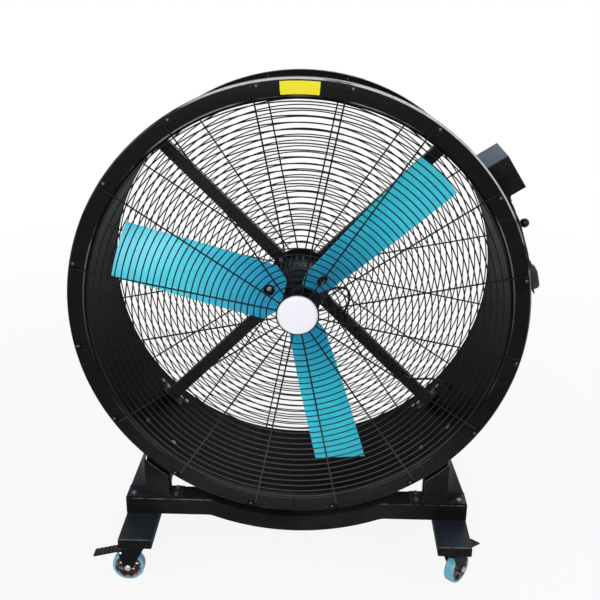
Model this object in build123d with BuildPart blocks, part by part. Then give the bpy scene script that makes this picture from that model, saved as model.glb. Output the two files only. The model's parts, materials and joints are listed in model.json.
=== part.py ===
"""Mobile drum fan: a steel drum on a wheeled base, with a three-blade rotor behind wire guards.

Frame: X to the right seen from the front, Y to the rear along the fan axis, Z up.
The origin lies on the floor, under the middle of the drum. Sizes are in millimetres.
"""
from build123d import *
from math import acos, asin, atan2, cos, degrees, pi, radians, sin, sqrt, tan
import os

os.makedirs("parts", exist_ok=True)

# ---------------------------------------------------------------- driving sizes
# drum and its end rings
drum_depth = 433.0            # front rolled edge to the face of the rear flange
drum_inner_r = 640.0
drum_wall = 3.0
axis_height = 885.0           # fan axis above the floor
sheet_gap = 0.2               # paint gap between sheets that lie on each other
cut_spare = 1.0               # a cutting body reaches this far past the faces it cuts
lap = 2.0                     # joined bodies reach this far into each other
lip_outer_r = 700.0
lip_face_r = 649.0            # inner edge of the flat face
lip_bend_back = 6.0           # inner edge of the bend behind the rolled edge
lip_crown = 2.0               # flat face stands this far in front of the rolled edge
lip_roll = 6.0                # width of the slope at the outer edge
lip_roll_back = 3.0           # end of that slope behind the rolled edge
lip_back_slope = 5.0          # depth of the slope between the flat face and the collar
lip_return = 22.0             # depth of the folded outer rim
lip_sheet = 3.0
collar_length = 18.0          # collar of a ring over the drum
shell_inset = 14.0            # front end of the drum wall behind the rolled edge
rear_flange_r = 672.0
rear_return = 20.0

# guards
ring_count = 29
ring_inner_r = 94.0           # innermost guard ring
ring_outer_r = 636.0          # outermost guard ring
wire = 4.0                    # guard ring wire
spoke_wire = 5.0
spoke_count = 16
spoke_first_angle = 78.75     # from +X, seen from the front
front_spoke_r = 692.0         # where a front spoke ends on the lip
rear_spoke_r = 666.0
guard_hub_r = 66.0            # plate at the centre of a guard
guard_seat_gap = 0.2
cap_r = 62.0
cap_thickness = 12.0
cap_edge = 5.0
front_clip_r = 686.0
rear_clip_r = 659.0
clip_width = 14.0             # along the spoke
clip_sheet = 2.0
clip_over = 5.0               # clip past the spoke on its free side
clip_tail = 22.0              # clip past the spoke on its screw side
clip_side_gap = 1.5           # between a spoke and the side of its clip
clip_screw_offset = 15.0      # screw beside the spoke
clip_screw_r = 2.5
clip_screw_head_r = 5.5
clip_screw_head = 4.0
clip_screw_grip = 9.0
screw_hole_gap = 0.3
notch_r = 675.5               # middle of the groove in the lip under a spoke end
notch_width = 8.0
notch_length = 17.0
notch_depth = 2.0

# motor frame
arm_angles = (45.0, 135.0, 225.0, 315.0)
arm_width = 40.0
arm_thickness = 25.0
arm_front = 328.0             # front of the arms behind the rolled edge
arm_inner_r = 32.0
arm_wall = 3.0
arm_groove = 7.0
arm_groove_side = 8.0         # groove beside the arm's middle
arm_groove_depth = 2.0
bracket_width = 84.0
bracket_length = 64.0         # along Y
bracket_plate = 5.0
bracket_corner = 6.0
bracket_gap = 0.3
mount_plate_r = 104.0
mount_plate = 6.0
mount_bolt_r = 92.0
bolt_r = 5.0
bolt_head_r = 8.5
bolt_head = 6.5
bolt_hole_gap = 0.3
arm_bolt_side = 31.0          # bolt of a bracket beside the arm's middle
nut_height = 8.0

# motor
motor_length = 94.0           # finned housing
housing_outer_r = 78.0
housing_inner_r = 68.0
fin_tip_r = 90.0
fin_count = 28
fin_width = 3.5
pad_rise = 4.0
pad_width = 44.0
cover_length = 20.0
cover_plate = 8.0
cover_r = 84.0
cover_rim = 4.0               # inside the housing's bore
cover_taper = 12.0
shaft_hole_gap = 0.5
bearing_outer_r = 31.0
bearing_width = 16.0
bearing_wall = 7.0            # wall of the pocket that holds the bearing
bearing_back = 2.0            # bearing past the cover's seat
shaft_back_gap = 1.0          # rear end of the shaft to the end of its bearing
shaft_chamfer = 1.0
bearing_gap = 0.02
shaft_r = 15.0
shaft_nose = 94.0             # shaft past the front cover
running_gap = 0.05
stator_inner_r = 40.0
stator_length = 72.0
rotor_air_gap = 0.8
rotor_length = 74.0
seat_gap = 0.02

# rotor
rotor_plane = 122.0           # blade roots behind the rolled edge
blade_count = 3
blade_first_angle = 44.2
blade_tip_r = 587.0
blade_thickness = 3.0
blade_root_r = 50.0
blade_flat_r = 122.0          # the root is flat up to here
root_pitch = 48.0
tip_pitch = 16.0
root_chord = 194.0
tip_chord = 174.0
root_chamfer = 44.0
tip_camber = 9.0
root_camber = 0.2
pitch_easing = 1.2            # 1 turns the blade evenly from root to tip
chord_easing = 2.0
hub_r = 42.0
hub_front = 30.0              # hub in front of the rotor plane
hub_back = 34.0               # hub behind the rotor plane
hub_chamfer = 5.0
paddle_root_r = 21.0
paddle_width = 62.0
paddle_thickness = 9.0
paddle_tip_r = 120.0
boss_r = 17.5
boss_height = 8.0
blade_bolt_circle_r = 98.0
blade_bolt_r = 5.0
hub_washer_r = 24.0
hub_washer = 5.0
hub_screw_r = 9.0
hub_screw_head = 9.0
hub_screw_grip = 26.0
blade_sections = 6
tip_spare = 8.0               # loft past the tip, cut off on the tip circle

# control box on the drum
box_angle = 33.1              # of its middle above +X
box_width = 112.0             # around the drum
box_length = 200.0            # along Y
box_middle = 215.0            # its middle behind the rolled edge
box_base_r = 652.0
box_top_r = 766.0
box_wall = 2.0
box_corner = 5.0
lid_thickness = 2.5
box_foot_width = 22.0
box_foot_length = 40.0          # around the drum
box_foot_spread = 150.0
controller_size = (78.0, 140.0, 62.0)
controller_corner = 3.0
knob_r = 19.0
knob_height = 16.0
knob_edge = 2.0
pointer_width = 5.0
pointer_rise = 3.0            # above the knob's face
pointer_sunk = 1.0
pointer_inset = 2.0           # from the knob's rim
knob_spindle_r = 4.0
knob_offset = 30.0            # knob above the middle of the box's end face
knob_gap = 0.5
knob_grip = 14.0
gland_r = 12.0
gland_length = 22.0
gland_nut_share = 0.45        # share of a gland's length that is hexagonal
gland_root_share = 0.82       # radius of the tapered relief at its foot, as a share of the gland's
gland_mouth_share = 0.6       # and at its mouth
gland_radius = 707.0          # cord gland from the fan axis, along the box
gland_depth = 140.0           # cord gland behind the rolled edge

# mains cord, its coil, hook and plug
cord_d = 9.0
coil_angle = 14.2             # of the coil's middle above +X
coil_inner_layer_r = 683.2    # middle of the layer next to the drum
coil_outer_turn_r = 86.0      # from the coil's own middle
coil_gap = 1.8                # between neighbouring turns
coil_layers = 4
coil_half_turns = (4, 4, 4, 5)
coil_tail_angle = 30.0        # the last turn ends this much before it points straight down
cord_exit_run = 30.0          # straight run out of the gland
cord_sag = ((659.0, 262.0, 4.0), (657.0, 231.0, 6.0))   # bends: X, height above the axis, behind the gland
cord_coil_run = 31.0          # straight run into the coil
corner_share = 0.45           # share of the shorter run that a bend may take up
path_samples = 1500           # points of the coil that are measured against each other
plug_neck_r = 7.0
plug_body_r = 23.0
plug_length = 90.0
plug_neck_length = 18.0
plug_shoulder = 20.0
plug_neck_flare = 3.0         # neck is wider by this at the shoulder
plug_shoulder_share = 0.7     # start of the shoulder as a share of the body's radius
tail_run = 30.0               # first straight run of the cord between coil and plug
tail_plug_forward = 102.0     # plug from the coil's middle, towards the front
tail_plug_radius = 717.0      # plug along the coil's axis
tail_bend_drop = 7.0          # last bend below the coil's middle
tail_end_drop = 35.0          # start of the plug below the coil's middle
plug_pin_r = 2.4
plug_pin_length = 19.0
plug_pin_spread = 19.0
hook_rod_r = 7.0
hook_ball_r = 15.0
hook_reach_r = 740.0          # middle of the ball, along the coil's axis
hook_plate = 4.0
hook_plate_width = 48.0
hook_plate_height = 28.8
hook_plate_corner = 5.0
hook_clear = 1.0              # between the rod and the innermost turn

# motor lead
lead_d = 8.0
lead_gland_r = 11.0
lead_gland_length = 18.0
lead_clip_width = 12.0
lead_clip_sheet = 2.0
lead_clip_gap = 0.3
lead_clip_foot = 18.0
lead_start_depth = 236.0
lead_start_run = 44.0
lead_drop_angle = -20.5       # bend between the gland and the arm
lead_drop_r = 177.0
lead_drop_depth = 276.0
lead_arm_start_r = 197.0
lead_arm_end_r = 520.0
lead_arm_clips = (256.0, 356.0, 456.0)
lead_exit_angle = -36.0       # where the lead passes the drum wall
lead_exit_depth = 296.0
lead_turn_r = 592.0           # bend inside the wall
lead_bulge_r = 692.0          # bend outside the wall
lead_wall_first = -27.0       # outside run up the drum, as angles above +X
lead_wall_last = 20.0
lead_wall_runs = 4
lead_wall_clips = 3
lead_box_depth = 264.0        # where the lead enters the control box
lead_box_r = 666.0
lead_end_run = 30.0
grommet_wall = 3.0
grommet_flange = 2.0
hole_reach = 9.0

# base
frame_half_width = 555.0
beam_lead = 25.0              # front face of the beam in front of the rolled edge
beam_depth = 75.0
beam_height = 58.0
beam_sheet = 4.0
dip_clearance = 4.0           # between the lip and the dip in the beam
dip_band = 54.0
dip_blend = 60.0
leg_width = 106.0
leg_height = 34.0
leg_overhang = 144.0          # leg past the front face of the beam
leg_sheet = 3.0
leg_corner = 4.0
support_inner_x = 415.0
support_outer_x = 490.0       # outer edge of the front plate
support_foot_x = 553.0        # outer end of the slanted side
support_top_x = 493.0
support_top_drop = 495.0      # top of the slanted side below the fan axis
support_front = -15.0         # behind the rolled edge
support_back = 48.0
support_sheet = 4.0
riser_depth = 20.0
ring_clear = 4.0              # support to the ends of the drum
foot_plate = 4.0
foot_front = -20.0
foot_inner_x = 372.0
saddle_length = 46.0
saddle_width = 140.0
saddle_gap = 0.5
saddle_sheet = 4.0
saddle_bolt_r = 4.0
saddle_head_r = 8.0
saddle_head = 4.0
saddle_head_sag = 0.2         # head below the curved wall
saddle_bolt_inset = 14.0
saddle_bolt_side = 57.0       # around the drum, from the saddle's middle
support_bolts_at = ((392.0, -4.0), (392.0, 34.0), (530.0, -6.0))

# casters
caster_y_from_end = 52.0
caster_height = 146.0
wheel_r = 51.0
wheel_width = 32.0
tyre_thickness = 9.0
tyre_round = 5.0
caster_plate = 5.0
caster_plate_x = 92.0
caster_plate_y = 84.0
plate_bolt_x = 37.0
plate_bolt_y = 33.0
race_r = 33.0
race_height = 13.0
race_gap = 0.5
kingpin_r = 9.0
trail = 34.0
fork_sheet = 4.0
fork_top_r = 31.0
fork_top_width = 40.0
fork_side_gap = 3.0
fork_eye_r = 14.0
axle_r = 5.0
axle_head_r = 8.0
axle_head = 5.5
hub_core_r = 14.0
rim_thickness = 6.0
web_thickness = 10.0
window_count = 6
window_r = 6.5
pedal_pivot_out = 54.0        # from the swivel axis, along the trail
pedal_pivot_z = 108.0
pedal_pin_r = 4.0
pedal_pin_end = 1.0           # pin past the fork's sides
pedal_ear_r = 9.0
pedal_hub_r = 7.5
pedal_reach = 92.0
pedal_slope = 14.0
pedal_width = 34.0
pedal_sheet = 5.0
pedal_ribs = 6
pedal_rib = 2.0
brake_lug_r = 2.2
brake_lug_out = 7.0           # lug from the pedal's pin
brake_lug_angle = 35.0        # lug ahead of the line from the pin to the axle
caster_angles = (180.0, 50.0, 160.0, -22.0)   # trail of front left, front right, rear left, rear right

# ---------------------------------------------------------------- derived values
front_y = -drum_depth / 2
fan_axis = Axis((0, 0, axis_height), (0, 1, 0))
drum_outer_r = drum_inner_r + drum_wall
collar_inner_r = drum_outer_r + sheet_gap
collar_outer_r = collar_inner_r + lip_sheet
lead_arm_depth = arm_front - lead_clip_sheet - lead_clip_gap - lead_d / 2
lead_run_r = drum_outer_r + sheet_gap + lead_clip_sheet + lead_clip_gap + lead_d / 2
leg_bottom = caster_height
leg_top = leg_bottom + leg_height
beam_top = leg_top + beam_height
beam_drop = axis_height - beam_top
beam_front = -beam_lead
dip_inner_r = lip_outer_r + dip_clearance
dip_outer_r = dip_inner_r + dip_band
leg_length = drum_depth + 2 * (beam_lead + leg_overhang)
leg_middle_x = frame_half_width - leg_width / 2
housing_front = arm_front - mount_plate - cover_length - motor_length
housing_back = housing_front + motor_length
spoke_pitch = 360 / spoke_count
arm_middle = arm_front + arm_thickness / 2
arm_outer_r = sqrt(drum_inner_r ** 2 - (bracket_width / 2) ** 2) - bracket_gap - bracket_plate
support_middle_x = (support_inner_x + support_outer_x) / 2
saddle_angle = degrees(acos(support_middle_x / drum_outer_r))
saddle_bolt_turn = degrees(saddle_bolt_side / drum_outer_r)
saddle_front = shell_inset + collar_length + ring_clear
saddle_bolt_depth = saddle_front + saddle_length - saddle_bolt_inset
saddle_bolt_depths = (saddle_bolt_depth, drum_depth - saddle_bolt_depth)
caster_y = leg_length / 2 - caster_y_from_end
caster_spots = ((-leg_middle_x, -caster_y), (leg_middle_x, -caster_y),
                (-leg_middle_x, caster_y), (leg_middle_x, caster_y))
caster_names = ("fl", "fr", "rl", "rr")
braked_casters = ("fl", "fr")
pedal_pitch = (pedal_reach - pedal_hub_r) / pedal_ribs


def behind(depth):
    """Y of a point that lies this far behind the front rolled edge."""
    return front_y + depth


def face_plane(depth):
    """Plane across the fan axis that looks forward: local x is X, local y is Z."""
    return Plane(origin=(0, behind(depth), axis_height), x_dir=(1, 0, 0), z_dir=(0, -1, 0))


profile_plane = Plane(origin=(0, front_y, axis_height), x_dir=(0, 1, 0), z_dir=(1, 0, 0))


def radial(angle):
    """Unit vector away from the fan axis at an angle above +X, seen from the front."""
    return Vector(cos(radians(angle)), 0, sin(radians(angle)))


def around(angle):
    """Unit vector around the fan axis, anticlockwise seen from the front."""
    return Vector(-sin(radians(angle)), 0, cos(radians(angle)))


def on_drum(angle, radius, depth, side=0.0):
    """Point at a radius and depth, moved sideways around the axis along the tangent."""
    return Vector(0, behind(depth), axis_height) + radial(angle) * radius + around(angle) * side


def cut_radial_hole(point, angle, radius):
    """Round hole through the drum wall at a point, square to the wall at that angle."""
    with BuildSketch(Plane(point - radial(angle) * hole_reach, x_dir=(0, 1, 0), z_dir=radial(angle))) as hole:
        Circle(radius)
    extrude(hole.sketch, amount=2 * hole_reach, mode=Mode.SUBTRACT)


def rod(start, direction, radius, length):
    """Round bar added to the part that is being built."""
    with BuildSketch(Plane(start, z_dir=direction)) as section:
        Circle(radius)
    extrude(section.sketch, amount=length)


def hexagon(start, direction, radius, length):
    """Six-sided head or nut added to the part that is being built."""
    with BuildSketch(Plane(start, z_dir=direction)) as section:
        RegularPolygon(radius, 6)
    extrude(section.sketch, amount=length)


def save(builder, name):
    """Label the finished piece and write its file."""
    builder.part.label = name
    export_step(builder.part, f"parts/{name}.step")


# ---------------------------------------------------------------- drum
def make_drum_shell():
    """Rolled sheet wall with the holes for the arm brackets, supports and the motor lead."""
    with BuildPart() as shell:
        with BuildSketch(face_plane(shell_inset + sheet_gap)):
            Circle(drum_outer_r)
            Circle(drum_inner_r, mode=Mode.SUBTRACT)
        extrude(amount=-(drum_depth - lip_sheet - shell_inset - 2 * sheet_gap))
        for angle in arm_angles:
            for side in (-arm_bolt_side, arm_bolt_side):
                cut_radial_hole(on_drum(angle, drum_inner_r, arm_middle, side), angle, bolt_r + bolt_hole_gap)
        for side in (-1, 1):
            for angle in saddle_bolt_angles(side):
                for depth in saddle_bolt_depths:
                    cut_radial_hole(on_drum(angle, drum_inner_r, depth), angle, saddle_bolt_r + bolt_hole_gap)
        cut_radial_hole(on_drum(lead_exit_angle, drum_inner_r, lead_exit_depth), lead_exit_angle,
                        lead_d / 2 + grommet_wall)
    save(shell, "drum_shell")


def cut_clip_holes(depth, circle_r, plate):
    """Screw holes beside each spoke of a guard, cut into the ring being built."""
    with BuildSketch(face_plane(depth - cut_spare)) as holes:
        for number in range(spoke_count):
            place = spoke_place(number, circle_r, -clip_screw_offset)
            with Locations(place):
                Circle(clip_screw_r + screw_hole_gap)
    extrude(holes.sketch, amount=-plate - 2 * cut_spare, mode=Mode.SUBTRACT)


def spoke_place(number, radius, side):
    """Point in a face plane beside a spoke, side counted anticlockwise."""
    angle = radians(spoke_first_angle + number * spoke_pitch)
    return (radius * cos(angle) - side * sin(angle), radius * sin(angle) + side * cos(angle))


def make_front_ring():
    """Front lip: inner bend, flat face, rolled outer rim and the collar over the drum."""
    face = -lip_crown
    inside = face + lip_sheet
    points = [
        (lip_bend_back, drum_inner_r),
        (face, lip_face_r),
        (face, lip_outer_r - lip_roll),
        (lip_roll_back, lip_outer_r),
        (lip_return, lip_outer_r),
        (lip_return, lip_outer_r - lip_sheet),
        (lip_roll_back + lip_sheet / 2, lip_outer_r - lip_sheet),
        (inside, lip_outer_r - lip_roll - lip_sheet / 2),
        (inside, lip_face_r + lip_sheet),
        (inside + lip_back_slope, collar_outer_r),
        (shell_inset + collar_length, collar_outer_r),
        (shell_inset + collar_length, collar_inner_r),
        (shell_inset, collar_inner_r),
        (shell_inset, drum_inner_r),
    ]
    with BuildPart() as ring:
        with BuildSketch(profile_plane):
            with BuildLine():
                Polyline(*points, close=True)
            make_face()
        revolve(axis=fan_axis)
        cut_clip_holes(-lip_crown, front_clip_r, lip_sheet)
        with BuildSketch(face_plane(-lip_crown - cut_spare)):
            with PolarLocations(notch_r, spoke_count, spoke_first_angle):
                Rectangle(notch_length, notch_width)
        extrude(amount=-notch_depth - cut_spare, mode=Mode.SUBTRACT)
    save(ring, "front_ring")


def make_rear_ring():
    """Rear flange with its folded rim and the collar over the drum."""
    inside = drum_depth - lip_sheet
    points = [
        (drum_depth, drum_inner_r),
        (drum_depth, rear_flange_r),
        (drum_depth - rear_return, rear_flange_r),
        (drum_depth - rear_return, rear_flange_r - lip_sheet),
        (inside, rear_flange_r - lip_sheet),
        (inside, collar_outer_r),
        (inside - collar_length - shell_inset, collar_outer_r),
        (inside - collar_length - shell_inset, collar_inner_r),
        (inside, collar_inner_r),
        (inside, drum_inner_r),
    ]
    with BuildPart() as ring:
        with BuildSketch(profile_plane):
            with BuildLine():
                Polyline(*points, close=True)
            make_face()
        revolve(axis=fan_axis)
        cut_clip_holes(drum_depth - lip_sheet, rear_clip_r, lip_sheet)
    save(ring, "rear_ring")


# ---------------------------------------------------------------- guards
def make_guard(name, seat_depth, spoke_end_r):
    """Wire guard: concentric rings, radial spokes and a centre plate joined into one grille."""
    pitch = (ring_outer_r - ring_inner_r) / (ring_count - 1)
    with BuildPart() as guard:
        with BuildSketch(face_plane(seat_depth)):
            # largest ring first, because each inner circle empties all that lies inside it
            for number in reversed(range(ring_count)):
                Circle(ring_inner_r + number * pitch + wire / 2)
                Circle(ring_inner_r + number * pitch - wire / 2, mode=Mode.SUBTRACT)
            with PolarLocations(0, spoke_count, spoke_first_angle):
                Rectangle(spoke_end_r, spoke_wire, align=(Align.MIN, Align.CENTER))
            Circle(guard_hub_r)
        extrude(amount=wire)
    save(guard, name)


def make_clips():
    """Bent clips that hold the spoke ends of both guards on their rings."""
    side = spoke_wire / 2 + clip_side_gap
    bridge_width = side + clip_sheet + clip_over
    rise = guard_seat_gap + wire
    with BuildPart() as clips:
        for depth, circle_r, out in ((-lip_crown, front_clip_r, 1), (drum_depth, rear_clip_r, -1)):
            with Locations(face_plane(depth)):
                with PolarLocations(circle_r, spoke_count, spoke_first_angle):
                    with Locations((0, clip_over - bridge_width / 2, out * (rise + clip_sheet / 2))):
                        Box(clip_width, bridge_width, clip_sheet)
                    with Locations((0, -side - clip_sheet / 2, out * (rise + clip_sheet) / 2)):
                        Box(clip_width, clip_sheet, rise + clip_sheet)
                    with Locations((0, -side - clip_tail / 2, out * clip_sheet / 2)):
                        Box(clip_width, clip_tail, clip_sheet)
                    with Locations((0, -clip_screw_offset, out * clip_sheet / 2)):
                        Cylinder(clip_screw_r + screw_hole_gap, clip_sheet * 2, mode=Mode.SUBTRACT)
    save(clips, "guard_clips")


def make_clip_screws():
    """Bright screws through the clips into both rings."""
    with BuildPart() as screws:
        for depth, circle_r, out in ((-lip_crown, front_clip_r, 1), (drum_depth, rear_clip_r, -1)):
            with Locations(face_plane(depth)):
                with PolarLocations(circle_r, spoke_count, spoke_first_angle):
                    with Locations((0, -clip_screw_offset, out * (clip_sheet + clip_screw_head / 2))):
                        Cylinder(clip_screw_head_r, clip_screw_head)
                    with Locations((0, -clip_screw_offset, out * (clip_sheet - clip_screw_grip / 2))):
                        Cylinder(clip_screw_r, clip_screw_grip)
    save(screws, "guard_screws")


def make_guard_cap():
    """Round cap over the centre plate of the front guard."""
    seat = -lip_crown - guard_seat_gap - wire
    with BuildPart() as cap:
        with BuildSketch(face_plane(seat)):
            Circle(cap_r)
        extrude(amount=cap_thickness)
        fillet(cap.faces().sort_by(Axis.Y)[0].edges(), cap_edge)
    save(cap, "guard_cap")


# ---------------------------------------------------------------- motor frame
def make_arm(name, angle):
    """Square tube arm with two grooves along its front, from the motor to its bracket."""
    start = Plane(on_drum(angle, arm_inner_r, arm_middle), x_dir=(0, 1, 0), z_dir=radial(angle))
    with BuildPart() as arm:
        with BuildSketch(start):
            Rectangle(arm_thickness, arm_width)
            Rectangle(arm_thickness - 2 * arm_wall, arm_width - 2 * arm_wall, mode=Mode.SUBTRACT)
            with Locations((-arm_thickness / 2, -arm_groove_side), (-arm_thickness / 2, arm_groove_side)):
                Rectangle(2 * arm_groove_depth, arm_groove, mode=Mode.SUBTRACT)
        extrude(amount=arm_outer_r - arm_inner_r)
        with BuildSketch(face_plane(arm_front - cut_spare)):
            with PolarLocations(mount_bolt_r, 1, angle):
                Circle(bolt_r + bolt_hole_gap)
        extrude(amount=-arm_thickness - 2 * cut_spare, mode=Mode.SUBTRACT)
    save(arm, name)


def make_arm_brackets():
    """Flat feet that join the arms to the inside of the drum."""
    with BuildPart() as brackets:
        for angle in arm_angles:
            foot = Plane(on_drum(angle, arm_outer_r, arm_middle), x_dir=(0, 1, 0), z_dir=radial(angle))
            with BuildSketch(foot):
                RectangleRounded(bracket_length, bracket_width, bracket_corner)
                with Locations((0, -arm_bolt_side), (0, arm_bolt_side)):
                    Circle(bolt_r + bolt_hole_gap, mode=Mode.SUBTRACT)
            extrude(amount=bracket_plate)
    save(brackets, "arm_brackets")


def make_mount_plate():
    """Round plate between the motor and the arms."""
    with BuildPart() as plate:
        with BuildSketch(face_plane(arm_front)):
            Circle(mount_plate_r)
            with PolarLocations(mount_bolt_r, len(arm_angles), arm_angles[0]):
                Circle(bolt_r + bolt_hole_gap, mode=Mode.SUBTRACT)
        extrude(amount=mount_plate)
    save(plate, "motor_mount_plate")


# ---------------------------------------------------------------- motor
def make_motor_housing():
    """Finned aluminium housing with a flat pad for the lead's gland."""
    with BuildPart() as housing:
        with BuildSketch(face_plane(housing_back)):
            Circle(housing_outer_r)
            with PolarLocations(housing_outer_r - lap, fin_count, 180 / fin_count):
                Rectangle(fin_tip_r - housing_outer_r + lap, fin_width, align=(Align.MIN, Align.CENTER))
            Rectangle(fin_tip_r + pad_rise, pad_width, align=(Align.MIN, Align.CENTER))
            Circle(housing_inner_r, mode=Mode.SUBTRACT)
        extrude(amount=motor_length)
    save(housing, "motor_housing")


def make_motor_covers():
    """Front and rear end covers, each with a bearing pocket; the shaft leaves through the front one."""
    with BuildPart() as covers:
        for seat_depth, outward in ((housing_front, 1), (housing_back, -1)):
            with BuildSketch(face_plane(seat_depth)):
                Circle(cover_r)
            extrude(amount=outward * cover_length, taper=cover_taper)
            with BuildSketch(face_plane(seat_depth)):
                Circle(housing_inner_r - cover_rim)
                Circle(bearing_outer_r + bearing_wall, mode=Mode.SUBTRACT)
            extrude(amount=outward * (cover_length - cover_plate), mode=Mode.SUBTRACT)
            with BuildSketch(face_plane(seat_depth)):
                Circle(bearing_outer_r + bearing_gap)
            extrude(amount=outward * (bearing_width + bearing_back), mode=Mode.SUBTRACT)
        with BuildSketch(face_plane(housing_front)):
            Circle(shaft_r + shaft_hole_gap)
        extrude(amount=cover_length + cut_spare, mode=Mode.SUBTRACT)
    save(covers, "motor_covers")


def make_bearings():
    """The two ball bearings, each as one closed ring."""
    with BuildPart() as bearings:
        for depth in (housing_front - bearing_back, housing_back + bearing_back + bearing_width):
            with BuildSketch(face_plane(depth)):
                Circle(bearing_outer_r)
                Circle(shaft_r + running_gap, mode=Mode.SUBTRACT)
            extrude(amount=bearing_width)
    save(bearings, "motor_bearings")


def make_stator():
    """Laminated stator pressed into the housing."""
    middle = (housing_front + housing_back) / 2
    with BuildPart() as stator:
        with BuildSketch(face_plane(middle + stator_length / 2)):
            Circle(housing_inner_r - seat_gap)
            Circle(stator_inner_r, mode=Mode.SUBTRACT)
        extrude(amount=stator_length)
    save(stator, "motor_stator")


def make_rotor_core():
    """Rotor pack on the shaft, with an air gap to the stator."""
    middle = (housing_front + housing_back) / 2
    with BuildPart() as core:
        with BuildSketch(face_plane(middle + rotor_length / 2)):
            Circle(stator_inner_r - rotor_air_gap)
            Circle(shaft_r + seat_gap, mode=Mode.SUBTRACT)
        extrude(amount=rotor_length)
    save(core, "motor_rotor_core")


def make_shaft():
    """Motor shaft from the rear bearing to the front of the hub."""
    shaft_back = housing_back + bearing_back + bearing_width - shaft_back_gap
    shaft_front = housing_front - cover_length - shaft_nose
    with BuildPart() as shaft:
        with BuildSketch(face_plane(shaft_back)):
            Circle(shaft_r)
        extrude(amount=shaft_back - shaft_front)
        with BuildSketch(face_plane(shaft_front)):
            Circle(blade_bolt_r + seat_gap)
        extrude(amount=-hub_screw_grip, mode=Mode.SUBTRACT)
        chamfer(shaft.faces().sort_by(Axis.Y)[-1].edges(), shaft_chamfer)
    save(shaft, "motor_shaft")


# ---------------------------------------------------------------- rotor
def chord_direction(angle, pitch):
    """Unit vector across a blade from its front edge to its back edge."""
    return around(angle) * -cos(radians(pitch)) + Vector(0, 1, 0) * sin(radians(pitch))


def rear_normal(angle, pitch):
    """Unit vector out of the rear face of a blade."""
    return around(angle) * sin(radians(pitch)) + Vector(0, 1, 0) * cos(radians(pitch))


def blade_section_plane(angle, radius, pitch):
    """Plane across a blade at a radius: local x runs along the chord, local y to the rear."""
    middle = on_drum(angle, radius, rotor_plane)
    return Plane(middle, x_dir=chord_direction(angle, pitch), z_dir=radial(angle))


def make_hub():
    """Hub with three inclined paddles that carry the blades."""
    with BuildPart() as hub:
        with BuildSketch(face_plane(rotor_plane + hub_back)):
            Circle(hub_r)
        extrude(amount=hub_front + hub_back)
        chamfer(hub.faces().sort_by(Axis.Y)[0].edges(), hub_chamfer)
        for number in range(blade_count):
            angle = blade_first_angle + number * 360 / blade_count
            with BuildSketch(blade_section_plane(angle, paddle_root_r, root_pitch)):
                with Locations((0, (blade_thickness + paddle_thickness) / 2)):
                    Rectangle(paddle_width, paddle_thickness)
            extrude(amount=paddle_tip_r - paddle_root_r)
            point = on_drum(angle, blade_bolt_circle_r, rotor_plane)
            with BuildSketch(Plane(point, z_dir=rear_normal(angle, root_pitch))):
                Circle(blade_bolt_r + bolt_hole_gap)
            extrude(amount=paddle_thickness + blade_thickness, mode=Mode.SUBTRACT)
        with BuildSketch(face_plane(rotor_plane + hub_back + cut_spare)):
            Circle(shaft_r + seat_gap)
        extrude(amount=hub_front + hub_back + 2 * cut_spare, mode=Mode.SUBTRACT)
    save(hub, "blade_hub")


def make_blade(name, angle):
    """Twisted sheet blade: flat chamfered root, cambered outer part, rounded tip line."""
    span = blade_tip_r - blade_flat_r
    half = root_chord / 2
    narrow = half - root_chamfer
    root_plane = Plane(
        on_drum(angle, 0, rotor_plane) - rear_normal(angle, root_pitch) * (blade_thickness / 2),
        x_dir=chord_direction(angle, root_pitch),
        z_dir=rear_normal(angle, root_pitch) * -1,
    )
    with BuildPart() as blade:
        with BuildSketch(root_plane):
            with BuildLine():
                Polyline(
                    (-narrow, blade_root_r),
                    (narrow, blade_root_r),
                    (half, blade_root_r + root_chamfer),
                    (half, blade_flat_r),
                    (-half, blade_flat_r),
                    (-half, blade_root_r + root_chamfer),
                    close=True,
                )
            make_face()
        extrude(amount=-blade_thickness)
        for step in range(blade_sections):
            share = step / (blade_sections - 1)
            radius = blade_flat_r + share * (span + tip_spare)
            bend = tip_camber * share + root_camber
            pitch = tip_pitch + (root_pitch - tip_pitch) * (1 - share) ** pitch_easing
            chord = tip_chord + (root_chord - tip_chord) * (1 - share) ** chord_easing
            with BuildSketch(blade_section_plane(angle, radius, pitch)):
                with BuildLine():
                    low = -blade_thickness / 2
                    front = ThreePointArc((-chord / 2, low), (0, low + bend), (chord / 2, low))
                    rear = ThreePointArc((-chord / 2, -low), (0, bend - low), (chord / 2, -low))
                    Line(front @ 0, rear @ 0)
                    Line(front @ 1, rear @ 1)
                make_face()
        loft()
        with BuildSketch(face_plane(rotor_plane + root_chord)):
            Circle(blade_tip_r)
        extrude(amount=2 * root_chord, mode=Mode.INTERSECT)
        seat = on_drum(angle, blade_bolt_circle_r, rotor_plane)
        with BuildSketch(Plane(seat, z_dir=rear_normal(angle, root_pitch))):
            Circle(blade_bolt_r + bolt_hole_gap)
        extrude(amount=blade_thickness, both=True, mode=Mode.SUBTRACT)
    save(blade, name)


def make_blade_bosses():
    """Thick black washers in front of the blade roots."""
    with BuildPart() as bosses:
        for number in range(blade_count):
            angle = blade_first_angle + number * 360 / blade_count
            rear = rear_normal(angle, root_pitch)
            middle = on_drum(angle, blade_bolt_circle_r, rotor_plane)
            start = middle - rear * (blade_thickness / 2 + boss_height)
            with BuildSketch(Plane(start, z_dir=rear)):
                Circle(boss_r)
                Circle(blade_bolt_r + bolt_hole_gap, mode=Mode.SUBTRACT)
            extrude(amount=boss_height)
    save(bosses, "blade_bosses")


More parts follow.
